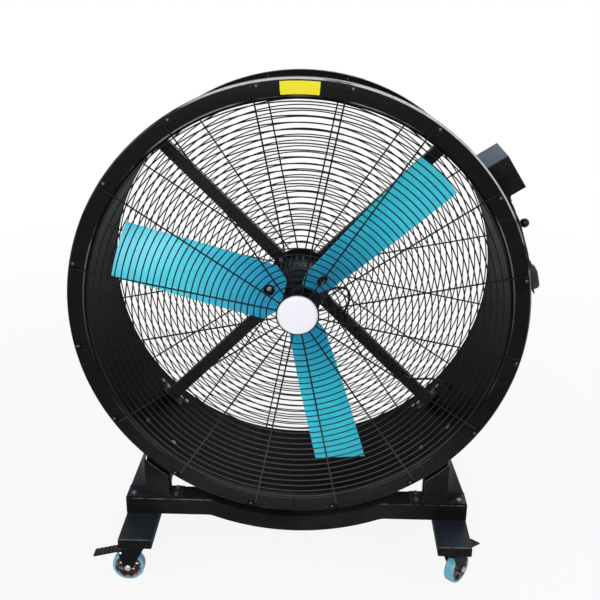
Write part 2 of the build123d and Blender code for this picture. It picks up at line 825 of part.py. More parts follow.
def make_rotor_bolts():
    """Blade bolts with nuts, and the screw and washer that hold the hub on the shaft."""
    with BuildPart() as bolts:
        for number in range(blade_count):
            angle = blade_first_angle + number * 360 / blade_count
            rear = rear_normal(angle, root_pitch)
            middle = on_drum(angle, blade_bolt_circle_r, rotor_plane)
            seat = middle - rear * (blade_thickness / 2 + boss_height)
            grip = boss_height + blade_thickness + paddle_thickness
            hexagon(seat - rear * bolt_head, rear, bolt_head_r, bolt_head)
            rod(seat, rear, blade_bolt_r, grip + nut_height)
            hexagon(seat + rear * grip, rear, bolt_head_r, nut_height)
        hub_face = on_drum(0, 0, rotor_plane - hub_front)
        rod(hub_face, (0, -1, 0), hub_washer_r, hub_washer)
        hexagon(hub_face - Vector(0, hub_washer, 0), (0, -1, 0), hub_screw_r, hub_screw_head)
        rod(hub_face, (0, 1, 0), blade_bolt_r, hub_screw_grip)
    save(bolts, "rotor_bolts")


# ---------------------------------------------------------------- control box
def box_plane(radius):
    """Plane across the box: local x to the rear, local y around the drum, outwards along z."""
    return Plane(on_drum(box_angle, radius, box_middle), x_dir=(0, 1, 0), z_dir=radial(box_angle))


def make_control_box():
    """Open steel box on two feet, with holes for the glands and the knob's spindle."""
    with BuildPart() as box:
        with BuildSketch(box_plane(box_base_r)):
            RectangleRounded(box_length, box_width, box_corner)
        extrude(amount=box_top_r - box_base_r)
        with BuildSketch(box_plane(box_base_r + box_wall)):
            RectangleRounded(box_length - 2 * box_wall, box_width - 2 * box_wall, box_corner - box_wall)
        extrude(amount=box_top_r - box_base_r, mode=Mode.SUBTRACT)
        holes = ((gland_radius, gland_depth, cord_d), (lead_box_r, lead_box_depth, lead_d))
        for radius, depth, lead in holes:
            inner = on_drum(box_angle, radius, depth, -box_width / 2 + 2 * box_wall)
            with BuildSketch(Plane(inner, z_dir=around(box_angle) * -1)):
                Circle(lead / 2 + screw_hole_gap)
            extrude(amount=4 * box_wall, mode=Mode.SUBTRACT)
        with BuildSketch(Plane(knob_seat(-2 * box_wall), z_dir=(0, 1, 0))):
            Circle(knob_spindle_r + running_gap)
        extrude(amount=4 * box_wall, mode=Mode.SUBTRACT)
        for shift in (-box_foot_spread / 2, box_foot_spread / 2):
            with BuildSketch(box_plane(drum_outer_r + sheet_gap)):
                with Locations((shift, 0)):
                    Rectangle(box_foot_width, box_foot_length)
            extrude(amount=box_base_r - drum_outer_r - sheet_gap)
    save(box, "control_box")


def knob_seat(lift):
    """Point on the knob's axis, lifted off the rear end face of the box."""
    middle_r = (box_base_r + box_top_r) / 2
    return on_drum(box_angle, middle_r, box_middle + box_length / 2 + lift, knob_offset)


def make_box_lid():
    """Flat lid over the outer face of the box."""
    with BuildPart() as lid:
        with BuildSketch(box_plane(box_top_r)):
            RectangleRounded(box_length, box_width, box_corner)
        extrude(amount=lid_thickness)
    save(lid, "control_box_lid")


def make_controller():
    """Speed controller inside the box, on its bottom."""
    width, length, height = controller_size
    with BuildPart() as controller:
        with BuildSketch(box_plane(box_base_r + box_wall)):
            RectangleRounded(length, width, controller_corner)
        extrude(amount=height)
    save(controller, "speed_controller")


def make_knob():
    """Rotary speed knob with a raised pointer, on its spindle."""
    with BuildPart() as knob:
        with BuildSketch(Plane(knob_seat(knob_gap), z_dir=(0, 1, 0))):
            Circle(knob_r)
        extrude(amount=knob_height)
        fillet(knob.faces().sort_by(Axis.Y)[-1].edges(), knob_edge)
        face = knob_seat(knob_gap + knob_height - pointer_sunk)
        with BuildSketch(Plane(face, x_dir=around(box_angle), z_dir=(0, 1, 0))):
            with Locations((knob_r / 2 - pointer_inset, 0)):
                Rectangle(knob_r, pointer_width)
        extrude(amount=pointer_sunk + pointer_rise)
        rod(knob_seat(-knob_grip), (0, 1, 0), knob_spindle_r, knob_grip + lap)
    save(knob, "speed_knob")


def make_glands():
    """Cable glands: two under the control box and one on the motor's pad."""
    down = around(box_angle) * -1
    places = (
        (on_drum(box_angle, gland_radius, gland_depth, -box_width / 2), down, gland_r, gland_length),
        (on_drum(box_angle, lead_box_r, lead_box_depth, -box_width / 2), down, lead_gland_r, lead_gland_length),
        (on_drum(0, fin_tip_r + pad_rise, lead_start_depth), Vector(1, 0, 0), lead_gland_r, lead_gland_length),
    )
    with BuildPart() as glands:
        for start, direction, radius, length in places:
            hexagon(start, direction, radius, length * gland_nut_share)
            with BuildSketch(Plane(start, z_dir=direction)):
                Circle(radius * gland_root_share)
            with BuildSketch(Plane(start + direction * length, z_dir=direction)):
                Circle(radius * gland_mouth_share)
            loft()
    save(glands, "cable_glands")


# ---------------------------------------------------------------- cords
def corner_radii(points):
    """Fillet radius at each inner point of a route: its bend takes up a share of its shorter run."""
    radii = []
    for before, here, after in zip(points, points[1:], points[2:]):
        turn = (here - before).get_angle(after - here)
        shorter = min((here - before).length, (after - here).length)
        radii.append(corner_share * shorter / tan(radians(turn / 2)))
    return radii


def make_tube(name, points, diameter):
    """Round cable along a route of straight runs joined by tangent arcs."""
    radii = corner_radii(points)
    with BuildPart() as tube:
        with BuildLine() as route:
            FilletPolyline(*points, radius=radii)
        with BuildSketch(Plane(points[0], z_dir=points[1] - points[0])):
            Circle(diameter / 2)
        sweep(path=route.wire())
    length = route.wire().length
    ideal = pi * diameter ** 2 / 4 * length
    print(name, "radii", [round(radius) for radius in radii], "length", round(length),
          "volume share", round(tube.part.volume / ideal, 4))
    save(tube, name)


def coil_plane():
    """Plane of the coil's first layer: local x to the rear, local y up around the drum."""
    middle = on_drum(coil_angle, coil_inner_layer_r, gland_depth + coil_outer_turn_r)
    return Plane(middle, x_dir=(0, 1, 0), z_dir=radial(coil_angle))


def coil_nodes():
    """Ends of the half turns, as local x in the coil's plane and height over its first layer."""
    pitch = cord_d + coil_gap
    reach = coil_outer_turn_r
    side = -1
    height = 0.0
    nodes = [(side * reach, height)]
    inward = True
    for layer, half_turns in enumerate(coil_half_turns):
        for _ in range(half_turns):
            reach += -pitch / 2 if inward else pitch / 2
            side = -side
            nodes.append((side * reach, height))
        inward = not inward
        if layer < coil_layers - 1:
            height += pitch
            side = -side
            nodes.append((side * reach, height))
    return nodes


def make_coil():
    """Neat coil of the spare cord: four layers that spiral in and out, as one unbroken tube."""
    frame = coil_plane()
    nodes = coil_nodes()
    place = [frame.from_local_coords(Vector(x, 0, z)) for x, z in nodes]
    heading = frame.y_dir * -1
    start = place[0] - heading * cord_d
    tail_start, tail_way = coil_end()
    with BuildPart() as coil:
        with BuildLine() as turns:
            Line(start, place[0])
            for (x0, z0), (x1, z1), first, last in zip(nodes, nodes[1:], place, place[1:]):
                middle = (first + last) * 0.5 + heading * (abs(x1 - x0) / 2)
                if last is place[-1]:
                    ThreePointArc(first, middle, tail_start)
                elif z0 == z1:
                    ThreePointArc(first, middle, last)
                else:
                    TangentArc(first, middle, tangent=heading)
                    TangentArc(middle, last, tangent=(last - first) * (1 / (last - first).length))
                heading = heading * -1
            Line(tail_start, tail_start + tail_way * cord_d)
        with BuildSketch(Plane(start, z_dir=place[0] - start)):
            Circle(cord_d / 2)
        sweep(path=turns.wire())
    path = turns.wire()
    print("cord_coil", "length", round(path.length), "least gap", round(least_gap(path) - cord_d, 2),
          "volume share", round(coil.part.volume / (pi * cord_d ** 2 / 4 * path.length), 4))
    save(coil, "cord_coil")


def least_gap(path):
    """Least distance between points of a wound path that are over a quarter turn apart."""
    points = [path.position_at(number / path_samples) for number in range(path_samples + 1)]
    apart = int(path_samples * coil_outer_turn_r * pi / 2 / path.length)
    least = coil_outer_turn_r
    for first in range(0, path_samples - apart, 2):
        for second in range(first + apart, path_samples + 1, 2):
            least = min(least, (points[first] - points[second]).length)
    return least


def coil_end():
    """Point where the last turn of the coil ends, and its direction there."""
    frame = coil_plane()
    (x0, height), (x1, _) = coil_nodes()[-2:]
    middle = (x0 + x1) / 2
    radius = abs(x1 - x0) / 2
    lift = radians(coil_tail_angle)
    point = frame.from_local_coords(Vector(middle - radius * cos(lift), radius * sin(lift), height))
    return point, frame.x_dir * -sin(lift) - frame.y_dir * cos(lift)


def tail_route():
    """Free stretch of the mains cord from the coil to the plug."""
    frame = coil_plane()
    point, way = coil_end()
    start = point + way * cord_d
    rise = tail_plug_radius - coil_inner_layer_r
    return [
        start,
        start + way * tail_run,
        frame.from_local_coords(Vector(-tail_plug_forward, -tail_bend_drop, rise)),
        frame.from_local_coords(Vector(-tail_plug_forward, -tail_end_drop, rise)),
    ]


def make_plug():
    """Mains plug at the end of the cord: strain relief, body and two pins."""
    start = tail_route()[-1]
    down = around(coil_angle) * -1
    shoulder = start + down * plug_neck_length
    full = shoulder + down * plug_shoulder
    with BuildPart() as plug:
        with BuildSketch(Plane(start, z_dir=down)):
            Circle(plug_neck_r)
        with BuildSketch(Plane(shoulder, z_dir=down)):
            Circle(plug_neck_r + plug_neck_flare)
        loft()
        with BuildSketch(Plane(shoulder, z_dir=down)):
            Circle(plug_body_r * plug_shoulder_share)
        with BuildSketch(Plane(full, z_dir=down)):
            Circle(plug_body_r)
        loft()
        rod(full, down, plug_body_r, plug_length - plug_neck_length - plug_shoulder)
        for side in (-plug_pin_spread / 2, plug_pin_spread / 2):
            foot = start + down * (plug_length - lap) + Vector(0, side, 0)
            rod(foot, down, plug_pin_r, plug_pin_length + lap)
    save(plug, "mains_plug")


def make_hook():
    """Cord hook: plate on the drum, rod outwards through the coil and a ball at its end."""
    top_inside = min(abs(reach) for reach, _ in coil_nodes()) - cord_d / 2 - hook_rod_r - hook_clear
    plane = coil_plane()
    middle = plane.from_local_coords(Vector(0, top_inside, 0))
    out = radial(coil_angle)
    wall = sqrt(drum_outer_r ** 2 - top_inside ** 2)
    reach = hook_reach_r - coil_inner_layer_r
    with BuildPart() as hook:
        base = middle - out * (coil_inner_layer_r - wall - hook_plate)
        rod(base, out, hook_rod_r, hook_reach_r - wall - hook_plate)
        tilt = degrees(asin(top_inside / drum_outer_r))
        foot = on_drum(coil_angle + tilt, drum_outer_r + sheet_gap, gland_depth + coil_outer_turn_r)
        with BuildSketch(Plane(foot, x_dir=(0, 1, 0), z_dir=radial(coil_angle + tilt))):
            RectangleRounded(hook_plate_width, hook_plate_height, hook_plate_corner)
        extrude(amount=hook_plate + lap)
        with Locations(middle + out * reach):
            Sphere(hook_ball_r)
    save(hook, "cord_hook")


def cord_route():
    """Free stretch of the mains cord from its gland to the coil's first layer."""
    exit_point = on_drum(box_angle, gland_radius, gland_depth, -box_width / 2 - gland_length)
    coil_start = coil_plane().from_local_coords(Vector(-coil_outer_turn_r, cord_d, 0))
    return [
        exit_point,
        exit_point + around(box_angle) * -cord_exit_run,
        *[Vector(x, exit_point.Y + back, axis_height + height) for x, height, back in cord_sag],
        coil_start + around(coil_angle) * cord_coil_run,
        coil_start,
    ]


def lead_wall_points():
    """Corners of the lead outside the drum, from the lower end up, all around the same radius."""
    step = (lead_wall_last - lead_wall_first) / lead_wall_runs
    corner_r = lead_run_r / cos(radians(step / 2))
    points = []
    for number in range(lead_wall_runs + 1):
        depth = lead_exit_depth + (lead_box_depth - lead_exit_depth) * number / lead_wall_runs
        points.append(on_drum(lead_wall_first + number * step, corner_r, depth))
    return points


def lead_route():
    """Route of the motor lead: gland, along the lower right arm, out and up to the box."""
    arm_angle = arm_angles[3]
    start = on_drum(0, fin_tip_r + pad_rise + lead_gland_length, lead_start_depth)
    end = on_drum(box_angle, lead_box_r, lead_box_depth, -box_width / 2 - lead_gland_length)
    return [
        start,
        start + Vector(lead_start_run, 0, 0),
        on_drum(lead_drop_angle, lead_drop_r, lead_drop_depth),
        on_drum(arm_angle, lead_arm_start_r, lead_arm_depth),
        on_drum(arm_angle, lead_arm_end_r, lead_arm_depth),
        on_drum(lead_exit_angle, lead_turn_r, lead_exit_depth),
        on_drum(lead_exit_angle, lead_bulge_r, lead_exit_depth),
        *lead_wall_points(),
        end - around(box_angle) * lead_end_run,
        end,
    ]


def make_lead_clips():
    """Clips of the motor lead on its arm and outside the drum, and the grommet in the wall."""
    loop_r = lead_d / 2 + lead_clip_gap + lead_clip_sheet
    foot_at = loop_r - lead_clip_sheet / 2
    arm_angle = arm_angles[3]
    places = []
    for radius in lead_arm_clips:
        middle = on_drum(arm_angle, radius, lead_arm_depth)
        section = Plane(middle, x_dir=(0, 1, 0), z_dir=radial(arm_angle))
        places.append((section, (foot_at, -lead_clip_foot / 2), (lead_clip_sheet, lead_clip_foot)))
    corners = lead_wall_points()
    for low, high in list(zip(corners, corners[1:]))[:lead_wall_clips]:
        section = Plane((low + high) * 0.5, x_dir=Vector(0, 1, 0), z_dir=high - low)
        places.append((section, (lead_clip_foot / 2, foot_at), (lead_clip_foot, lead_clip_sheet)))
    with BuildPart() as clips:
        for section, foot_place, foot_size in places:
            with BuildSketch(section):
                Circle(loop_r)
                with Locations(foot_place):
                    Rectangle(*foot_size)
                Circle(loop_r - lead_clip_sheet, mode=Mode.SUBTRACT)
            extrude(amount=lead_clip_width / 2, both=True)
        out = radial(lead_exit_angle)
        core_r = lead_d / 2 + grommet_wall - screw_hole_gap
        inner = on_drum(lead_exit_angle, drum_inner_r - grommet_flange - saddle_head_sag, lead_exit_depth)
        outer = on_drum(lead_exit_angle, drum_outer_r, lead_exit_depth)
        rod(inner, out, core_r + grommet_wall, grommet_flange)
        rod(inner, out, core_r, (outer - inner).length + grommet_flange)
        rod(outer, out, core_r + grommet_wall, grommet_flange)
        with BuildSketch(Plane(inner - out, z_dir=out)):
            Circle(lead_d / 2 + lead_clip_gap)
        extrude(amount=drum_wall + 4 * grommet_flange, mode=Mode.SUBTRACT)
    save(clips, "lead_clips")


# ---------------------------------------------------------------- base
def base_depth(depth, is_rear):
    """Depth behind the rolled edge of a base feature, mirrored for the rear half."""
    return drum_depth - depth if is_rear else depth


def make_leg(name, side):
    """Closed box tube along the fan axis, with bolt holes for its casters in the bottom wall."""
    with BuildPart() as leg:
        with Locations((side * leg_middle_x, 0, leg_bottom + leg_height / 2)):
            Box(leg_width, leg_length, leg_height)
        fillet(leg.edges().filter_by(Axis.Y), leg_corner)
        with Locations((side * leg_middle_x, 0, leg_bottom + leg_height / 2)):
            Box(leg_width - 2 * leg_sheet, leg_length - 2 * leg_sheet, leg_height - 2 * leg_sheet,
                mode=Mode.SUBTRACT)
        with BuildSketch(Plane.XY.offset(leg_bottom - cut_spare)):
            for y in (-caster_y, caster_y):
                with Locations((side * leg_middle_x, y)):
                    with GridLocations(2 * plate_bolt_x, 2 * plate_bolt_y, 2, 2):
                        Circle(saddle_bolt_r + bolt_hole_gap)
        extrude(amount=leg_sheet + 2 * cut_spare, mode=Mode.SUBTRACT)
    save(leg, name)


def draw_beam(inset):
    """Outline of a beam with its dip under the drum, drawn into the open sketch."""
    inner_r = dip_inner_r + inset
    top = beam_drop + inset
    kink_x = sqrt(inner_r ** 2 - top ** 2)
    Circle(dip_outer_r - inset)
    with Locations((0, -top)):
        Rectangle(4 * dip_outer_r, 2 * dip_outer_r, align=(Align.CENTER, Align.MIN), mode=Mode.SUBTRACT)
        Rectangle(2 * (frame_half_width - inset), beam_height - 2 * inset, align=(Align.CENTER, Align.MAX))
    Circle(inner_r, mode=Mode.SUBTRACT)
    return kink_x


def make_beam(name, is_rear):
    """Folded channel across the base, open towards the middle of the fan."""
    way = -1 if is_rear else 1
    with BuildPart() as beam:
        for inset, start, mode in ((0, beam_front, Mode.ADD), (beam_sheet, beam_front + beam_sheet, Mode.SUBTRACT)):
            with BuildSketch(face_plane(base_depth(start, is_rear)), mode=Mode.ADD) as outline:
                kink_x = draw_beam(inset)
                kinks = [v for v in outline.vertices() if abs(abs(v.X) - kink_x) < dip_band / 2]
                fillet(kinks, dip_blend)
            extrude(amount=-way * beam_depth, mode=mode)
        with BuildSketch(Plane.XY.offset(beam_top + cut_spare)):
            for x, depth in support_bolts_at:
                with Locations((-x, behind(base_depth(depth, is_rear))), (x, behind(base_depth(depth, is_rear)))):
                    Circle(bolt_r + bolt_hole_gap)
        extrude(amount=-beam_sheet - 2 * cut_spare, mode=Mode.SUBTRACT)
    save(beam, name)


def support_points(side, is_rear, points):
    """Corner points of a support in plan, from distances outwards and behind the rolled edge."""
    return [(side * x, behind(base_depth(depth, is_rear))) for x, depth in points]


def draw_plan(points):
    """Closed polygon drawn into the open sketch."""
    Polygon(*points, align=None)


def saddle_middle(side):
    """Angle of the middle of a saddle, on the left for side -1 and on the right for side 1."""
    return -90 + side * (90 - saddle_angle)


def saddle_bolt_angles(side):
    """Angles of the two bolts of a saddle."""
    return (saddle_middle(side) - saddle_bolt_turn, saddle_middle(side) + saddle_bolt_turn)


def make_supports(name, side):
    """Two welded supports of one side of the drum: foot, front plate, slanted side, riser and saddle."""
    plate_x = support_sheet * sqrt(2)
    foot_z = beam_top + foot_plate
    riser_r = collar_outer_r + saddle_gap
    with BuildPart() as supports:
        for is_rear in (False, True):
            front = ((support_inner_x, support_front), (support_outer_x, support_front),
                     (support_outer_x, support_front + support_sheet), (support_inner_x, support_front + support_sheet))
            with BuildSketch(Plane.XY.offset(beam_top)):
                draw_plan(support_points(side, is_rear, front))
            extrude(amount=axis_height - support_top_drop - beam_top)
            for offset, outer_x in ((beam_top, support_foot_x), (axis_height - support_top_drop, support_top_x)):
                slant = ((support_outer_x, support_front), (outer_x, support_back),
                         (outer_x - plate_x, support_back), (support_outer_x - plate_x, support_front))
                with BuildSketch(Plane.XY.offset(offset)):
                    draw_plan(support_points(side, is_rear, slant))
            loft(ruled=True)
            outer = ((support_inner_x, support_back - riser_depth), (support_outer_x, support_back - riser_depth),
                     (support_outer_x, support_back), (support_inner_x, support_back))
            inset = support_sheet
            inner = ((support_inner_x + inset, support_back - riser_depth + inset),
                     (support_outer_x - inset, support_back - riser_depth + inset),
                     (support_outer_x - inset, support_back - inset), (support_inner_x + inset, support_back - inset))
            with BuildSketch(Plane.XY.offset(beam_top)):
                draw_plan(support_points(side, is_rear, outer))
            extrude(amount=beam_drop)
            with BuildSketch(Plane.XY.offset(foot_z)):
                draw_plan(support_points(side, is_rear, inner))
            extrude(amount=beam_drop, mode=Mode.SUBTRACT)
        cuts = (
            (support_front - cut_spare, lip_return + ring_clear, lip_outer_r + ring_clear),
            (lip_return + ring_clear, drum_depth - rear_return - ring_clear, riser_r),
            (drum_depth - rear_return - ring_clear, drum_depth - support_front + cut_spare, rear_flange_r + ring_clear),
        )
        for near, far, radius in cuts:
            with BuildSketch(face_plane(near)):
                Circle(radius)
            extrude(amount=near - far, mode=Mode.SUBTRACT)
        for is_rear in (False, True):
            foot = ((foot_inner_x, foot_front), (support_foot_x, foot_front),
                    (support_foot_x, support_back), (foot_inner_x, support_back))
            with BuildSketch(Plane.XY.offset(beam_top)):
                draw_plan(support_points(side, is_rear, foot))
                with Locations(*support_points(side, is_rear, support_bolts_at)):
                    Circle(bolt_r + bolt_hole_gap, mode=Mode.SUBTRACT)
            extrude(amount=foot_plate)
            angle = saddle_middle(side)
            near = base_depth(saddle_front, is_rear)
            with BuildSketch(face_plane(near)):
                with Locations(Location((0, 0), angle)):
                    with Locations((drum_outer_r, 0)):
                        Rectangle(saddle_width, saddle_width)
                Circle(drum_outer_r + saddle_gap + saddle_sheet, mode=Mode.INTERSECT)
                Circle(drum_outer_r + saddle_gap, mode=Mode.SUBTRACT)
            extrude(amount=near - base_depth(saddle_front + saddle_length, is_rear))
            depth = base_depth(saddle_bolt_depth, is_rear)
            for angle in saddle_bolt_angles(side):
                cut_radial_hole(on_drum(angle, drum_outer_r, depth), angle, saddle_bolt_r + bolt_hole_gap)
    save(supports, name)


def make_frame_bolts():
    """Bolts of the motor frame, the supports, the saddles and the caster plates."""
    with BuildPart() as bolts:
        for angle in arm_angles:
            out = radial(angle)
            for side in (-arm_bolt_side, arm_bolt_side):
                nut = on_drum(angle, arm_outer_r - nut_height, arm_middle, side)
                hexagon(nut, out, bolt_head_r, nut_height)
                rod(nut, out, bolt_r, drum_outer_r - arm_outer_r + nut_height)
                hexagon(on_drum(angle, drum_outer_r, arm_middle, side), out, bolt_head_r, bolt_head)
            head = on_drum(angle, mount_bolt_r, arm_front - mount_plate - bolt_head)
            grip = mount_plate + arm_thickness
            hexagon(head, (0, 1, 0), bolt_head_r, bolt_head)
            rod(head, (0, 1, 0), bolt_r, bolt_head + grip + nut_height)
            hexagon(head + Vector(0, bolt_head + grip, 0), (0, 1, 0), bolt_head_r, nut_height)
        for side in (-1, 1):
            for angle in saddle_bolt_angles(side):
                for depth in saddle_bolt_depths:
                    head = on_drum(angle, drum_inner_r - saddle_head - saddle_head_sag, depth)
                    grip = drum_wall + saddle_gap + saddle_sheet + saddle_head_sag
                    rod(head, radial(angle), saddle_head_r, saddle_head)
                    rod(head, radial(angle), saddle_bolt_r, saddle_head + grip + nut_height)
                    hexagon(head + radial(angle) * (saddle_head + grip), radial(angle), saddle_head_r, nut_height)
            for is_rear in (False, True):
                for x, y in support_points(side, is_rear, support_bolts_at):
                    hexagon(Vector(x, y, beam_top + foot_plate), (0, 0, 1), bolt_head_r, bolt_head)
                    rod(Vector(x, y, beam_top - beam_sheet - nut_height), (0, 0, 1), bolt_r,
                        nut_height + beam_sheet + foot_plate + bolt_head)
                    hexagon(Vector(x, y, beam_top - beam_sheet - nut_height), (0, 0, 1), bolt_head_r, nut_height)
        for x, y in caster_spots:
            for dx in (-plate_bolt_x, plate_bolt_x):
                for dy in (-plate_bolt_y, plate_bolt_y):
                    bottom = Vector(x + dx, y + dy, leg_bottom - caster_plate - saddle_head)
                    grip = caster_plate + leg_sheet
                    hexagon(bottom, (0, 0, 1), saddle_head_r, saddle_head)
                    rod(bottom, (0, 0, 1), saddle_bolt_r, saddle_head + grip + nut_height)
                    hexagon(bottom + Vector(0, 0, saddle_head + grip), (0, 0, 1), saddle_head_r, nut_height)
    save(bolts, "frame_bolts")


# ---------------------------------------------------------------- casters
def caster_section(spot, angle):
    """Upright plane through the swivel axis: local x along the trail, local y up, z along the axle."""
    trail_way = Vector(cos(radians(angle)), sin(radians(angle)), 0)
    return Plane((spot[0], spot[1], 0), x_dir=trail_way, z_dir=trail_way.cross(Vector(0, 0, 1)))


def make_caster_plates():
    """Top plates of the four casters, each with its swivel race."""
    with BuildPart() as plates:
        with Locations(*[(x, y, leg_bottom - caster_plate / 2) for x, y in caster_spots]):
            Box(caster_plate_x, caster_plate_y, caster_plate)
        with BuildSketch(Plane.XY.offset(leg_bottom - caster_plate)):
            with Locations(*caster_spots):
                Circle(race_r)
        extrude(amount=-race_height)
        with BuildSketch(Plane.XY.offset(leg_bottom)):
            with Locations(*caster_spots):
                Circle(kingpin_r + running_gap)
                with GridLocations(2 * plate_bolt_x, 2 * plate_bolt_y, 2, 2):
                    Circle(saddle_bolt_r + bolt_hole_gap)
        extrude(amount=-caster_plate - race_height, mode=Mode.SUBTRACT)
    save(plates, "caster_plates")


def make_fork(name, spot, angle, has_pedal):
    """Swivel fork with its kingpin, axle bolt and, on a braked caster, the pedal's pin."""
    fork_top = leg_bottom - caster_plate - race_height - race_gap
    cheek = wheel_width / 2 + fork_side_gap
    section = caster_section(spot, angle)
    axle = section.from_local_coords(Vector(trail, wheel_r, 0))
    with BuildPart() as fork:
        with BuildSketch(Plane.XY.offset(fork_top)):
            with Locations(spot):
                Circle(fork_top_r)
        extrude(amount=-fork_sheet)
        with BuildSketch(Plane.XY.offset(fork_top)):
            with Locations(spot):
                Circle(kingpin_r)
        extrude(amount=leg_bottom - race_gap - fork_top)
        for side in (-cheek - fork_sheet, cheek):
            with BuildSketch(section.offset(side)):
                with Locations((trail, wheel_r)):
                    Circle(fork_eye_r)
                with Locations((0, fork_top)):
                    Rectangle(fork_top_width, fork_sheet, align=(Align.CENTER, Align.MAX))
                if has_pedal:
                    with Locations((pedal_pivot_out, pedal_pivot_z)):
                        Circle(pedal_ear_r)
                make_hull()
                with Locations((trail, wheel_r)):
                    Circle(axle_r + bolt_hole_gap, mode=Mode.SUBTRACT)
            extrude(amount=fork_sheet)
        way = section.z_dir
        half = cheek + fork_sheet
        hexagon(axle - way * (half + axle_head), way, axle_head_r, axle_head)
        rod(axle - way * half, way, axle_r, 2 * half)
        hexagon(axle + way * half, way, axle_head_r, axle_head)
        if has_pedal:
            pivot = section.from_local_coords(Vector(pedal_pivot_out, pedal_pivot_z, 0))
            rod(pivot - way * (half + pedal_pin_end), way, pedal_pin_r, 2 * (half + pedal_pin_end))
    save(fork, name)


def make_wheel_core(name, spot, angle):
    """Moulded wheel core: hub, web with windows and rim."""
    section = caster_section(spot, angle)
    rim_r = wheel_r - tyre_thickness
    with BuildPart() as core:
        with BuildSketch(section.offset(-wheel_width / 2)):
            with Locations((trail, wheel_r)):
                Circle(rim_r)
                Circle(rim_r - rim_thickness, mode=Mode.SUBTRACT)
                Circle(hub_core_r)
        extrude(amount=wheel_width)
        with BuildSketch(section.offset(-web_thickness / 2)):
            with Locations((trail, wheel_r)):
                Circle(rim_r - rim_thickness / 2)
                with PolarLocations((rim_r - rim_thickness + hub_core_r) / 2, window_count):
                    Circle(window_r, mode=Mode.SUBTRACT)
        extrude(amount=web_thickness)
        with BuildSketch(section.offset(-wheel_width / 2)):
            with Locations((trail, wheel_r)):
                Circle(axle_r + running_gap)
        extrude(amount=wheel_width, mode=Mode.SUBTRACT)
    save(core, name)


def make_tyre(name, spot, angle):
    """Tyre with rounded shoulders around a wheel core."""
    section = caster_section(spot, angle)
    with BuildPart() as tyre:
        with BuildSketch(section.offset(-wheel_width / 2)):
            with Locations((trail, wheel_r)):
                Circle(wheel_r)
                Circle(wheel_r - tyre_thickness, mode=Mode.SUBTRACT)
        extrude(amount=wheel_width)
        fillet(tyre.edges().filter_by(GeomType.CIRCLE).sort_by(SortBy.RADIUS)[-2:], tyre_round)
    save(tyre, name)


def make_pedal(name, spot, angle):
    """Brake pedal: hub on its pin, brake lug and a ribbed tread."""
    section = caster_section(spot, angle)
    toward_axle = degrees(atan2(wheel_r - pedal_pivot_z, trail - pedal_pivot_out))
    lug_angle = toward_axle + brake_lug_angle
    with BuildPart() as pedal:
        with BuildSketch(section.offset(-pedal_width / 2)):
            with Locations(Location((pedal_pivot_out, pedal_pivot_z), -pedal_slope)):
                Circle(pedal_hub_r)
                with Locations((0, pedal_sheet)):
                    Rectangle(pedal_reach, pedal_sheet, align=(Align.MIN, Align.MAX))
                for number in range(pedal_ribs):
                    with Locations((pedal_reach - (number + 0.5) * pedal_pitch, pedal_sheet)):
                        Rectangle(pedal_rib, pedal_rib, align=(Align.CENTER, Align.MIN))
            with Locations((pedal_pivot_out, pedal_pivot_z)):
                with PolarLocations(brake_lug_out, 1, lug_angle):
                    Circle(brake_lug_r)
                Circle(pedal_pin_r + running_gap, mode=Mode.SUBTRACT)
        extrude(amount=pedal_width)
    save(pedal, name)


# ---------------------------------------------------------------- build all pieces
make_drum_shell()
make_front_ring()
make_rear_ring()
make_guard("front_guard", -lip_crown - guard_seat_gap, front_spoke_r)
make_guard("rear_guard", drum_depth + guard_seat_gap + wire, rear_spoke_r)
make_clips()
make_clip_screws()
make_guard_cap()
for number, angle in enumerate(arm_angles):
    make_arm(f"motor_arm_{number + 1}", angle)
make_arm_brackets()
make_mount_plate()
make_motor_housing()
make_motor_covers()
make_bearings()
make_stator()
make_rotor_core()
make_shaft()
make_hub()
for number in range(blade_count):
    make_blade(f"blade_{number + 1}", blade_first_angle + number * 360 / blade_count)
make_blade_bosses()
make_rotor_bolts()
make_control_box()
make_box_lid()
make_controller()
make_knob()
make_glands()
make_tube("motor_lead", lead_route(), lead_d)
make_lead_clips()
make_tube("mains_cord", cord_route(), cord_d)
make_coil()
make_tube("plug_cord", tail_route(), cord_d)
make_plug()
make_hook()
make_leg("left_leg", -1)
make_leg("right_leg", 1)
make_beam("front_beam", False)
make_beam("rear_beam", True)
make_supports("left_supports", -1)
make_supports("right_supports", 1)
make_frame_bolts()
make_caster_plates()
for caster, spot, angle in zip(caster_names, caster_spots, caster_angles):
    make_fork(f"caster_fork_{caster}", spot, angle, caster in braked_casters)
    make_wheel_core(f"wheel_core_{caster}", spot, angle)
    make_tyre(f"tyre_{caster}", spot, angle)
    if caster in braked_casters:
        make_pedal(f"brake_pedal_{caster}", spot, angle)
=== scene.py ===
"""Mobile drum fan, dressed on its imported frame: round-wire guards, rolled front lip, mains cord and finishes.

Row frame: X to the right seen from the front, Y to the rear along the fan axis, Z up, in metres.
The origin lies on the floor, under the middle of the drum.
"""

import json
from math import cos, pi, radians, sin, tau

import bmesh
import bpy
from bpy.props import FloatProperty, FloatVectorProperty, IntProperty, PointerProperty
from bpy.types import Operator, Panel, PropertyGroup
from mathutils import Matrix, Vector


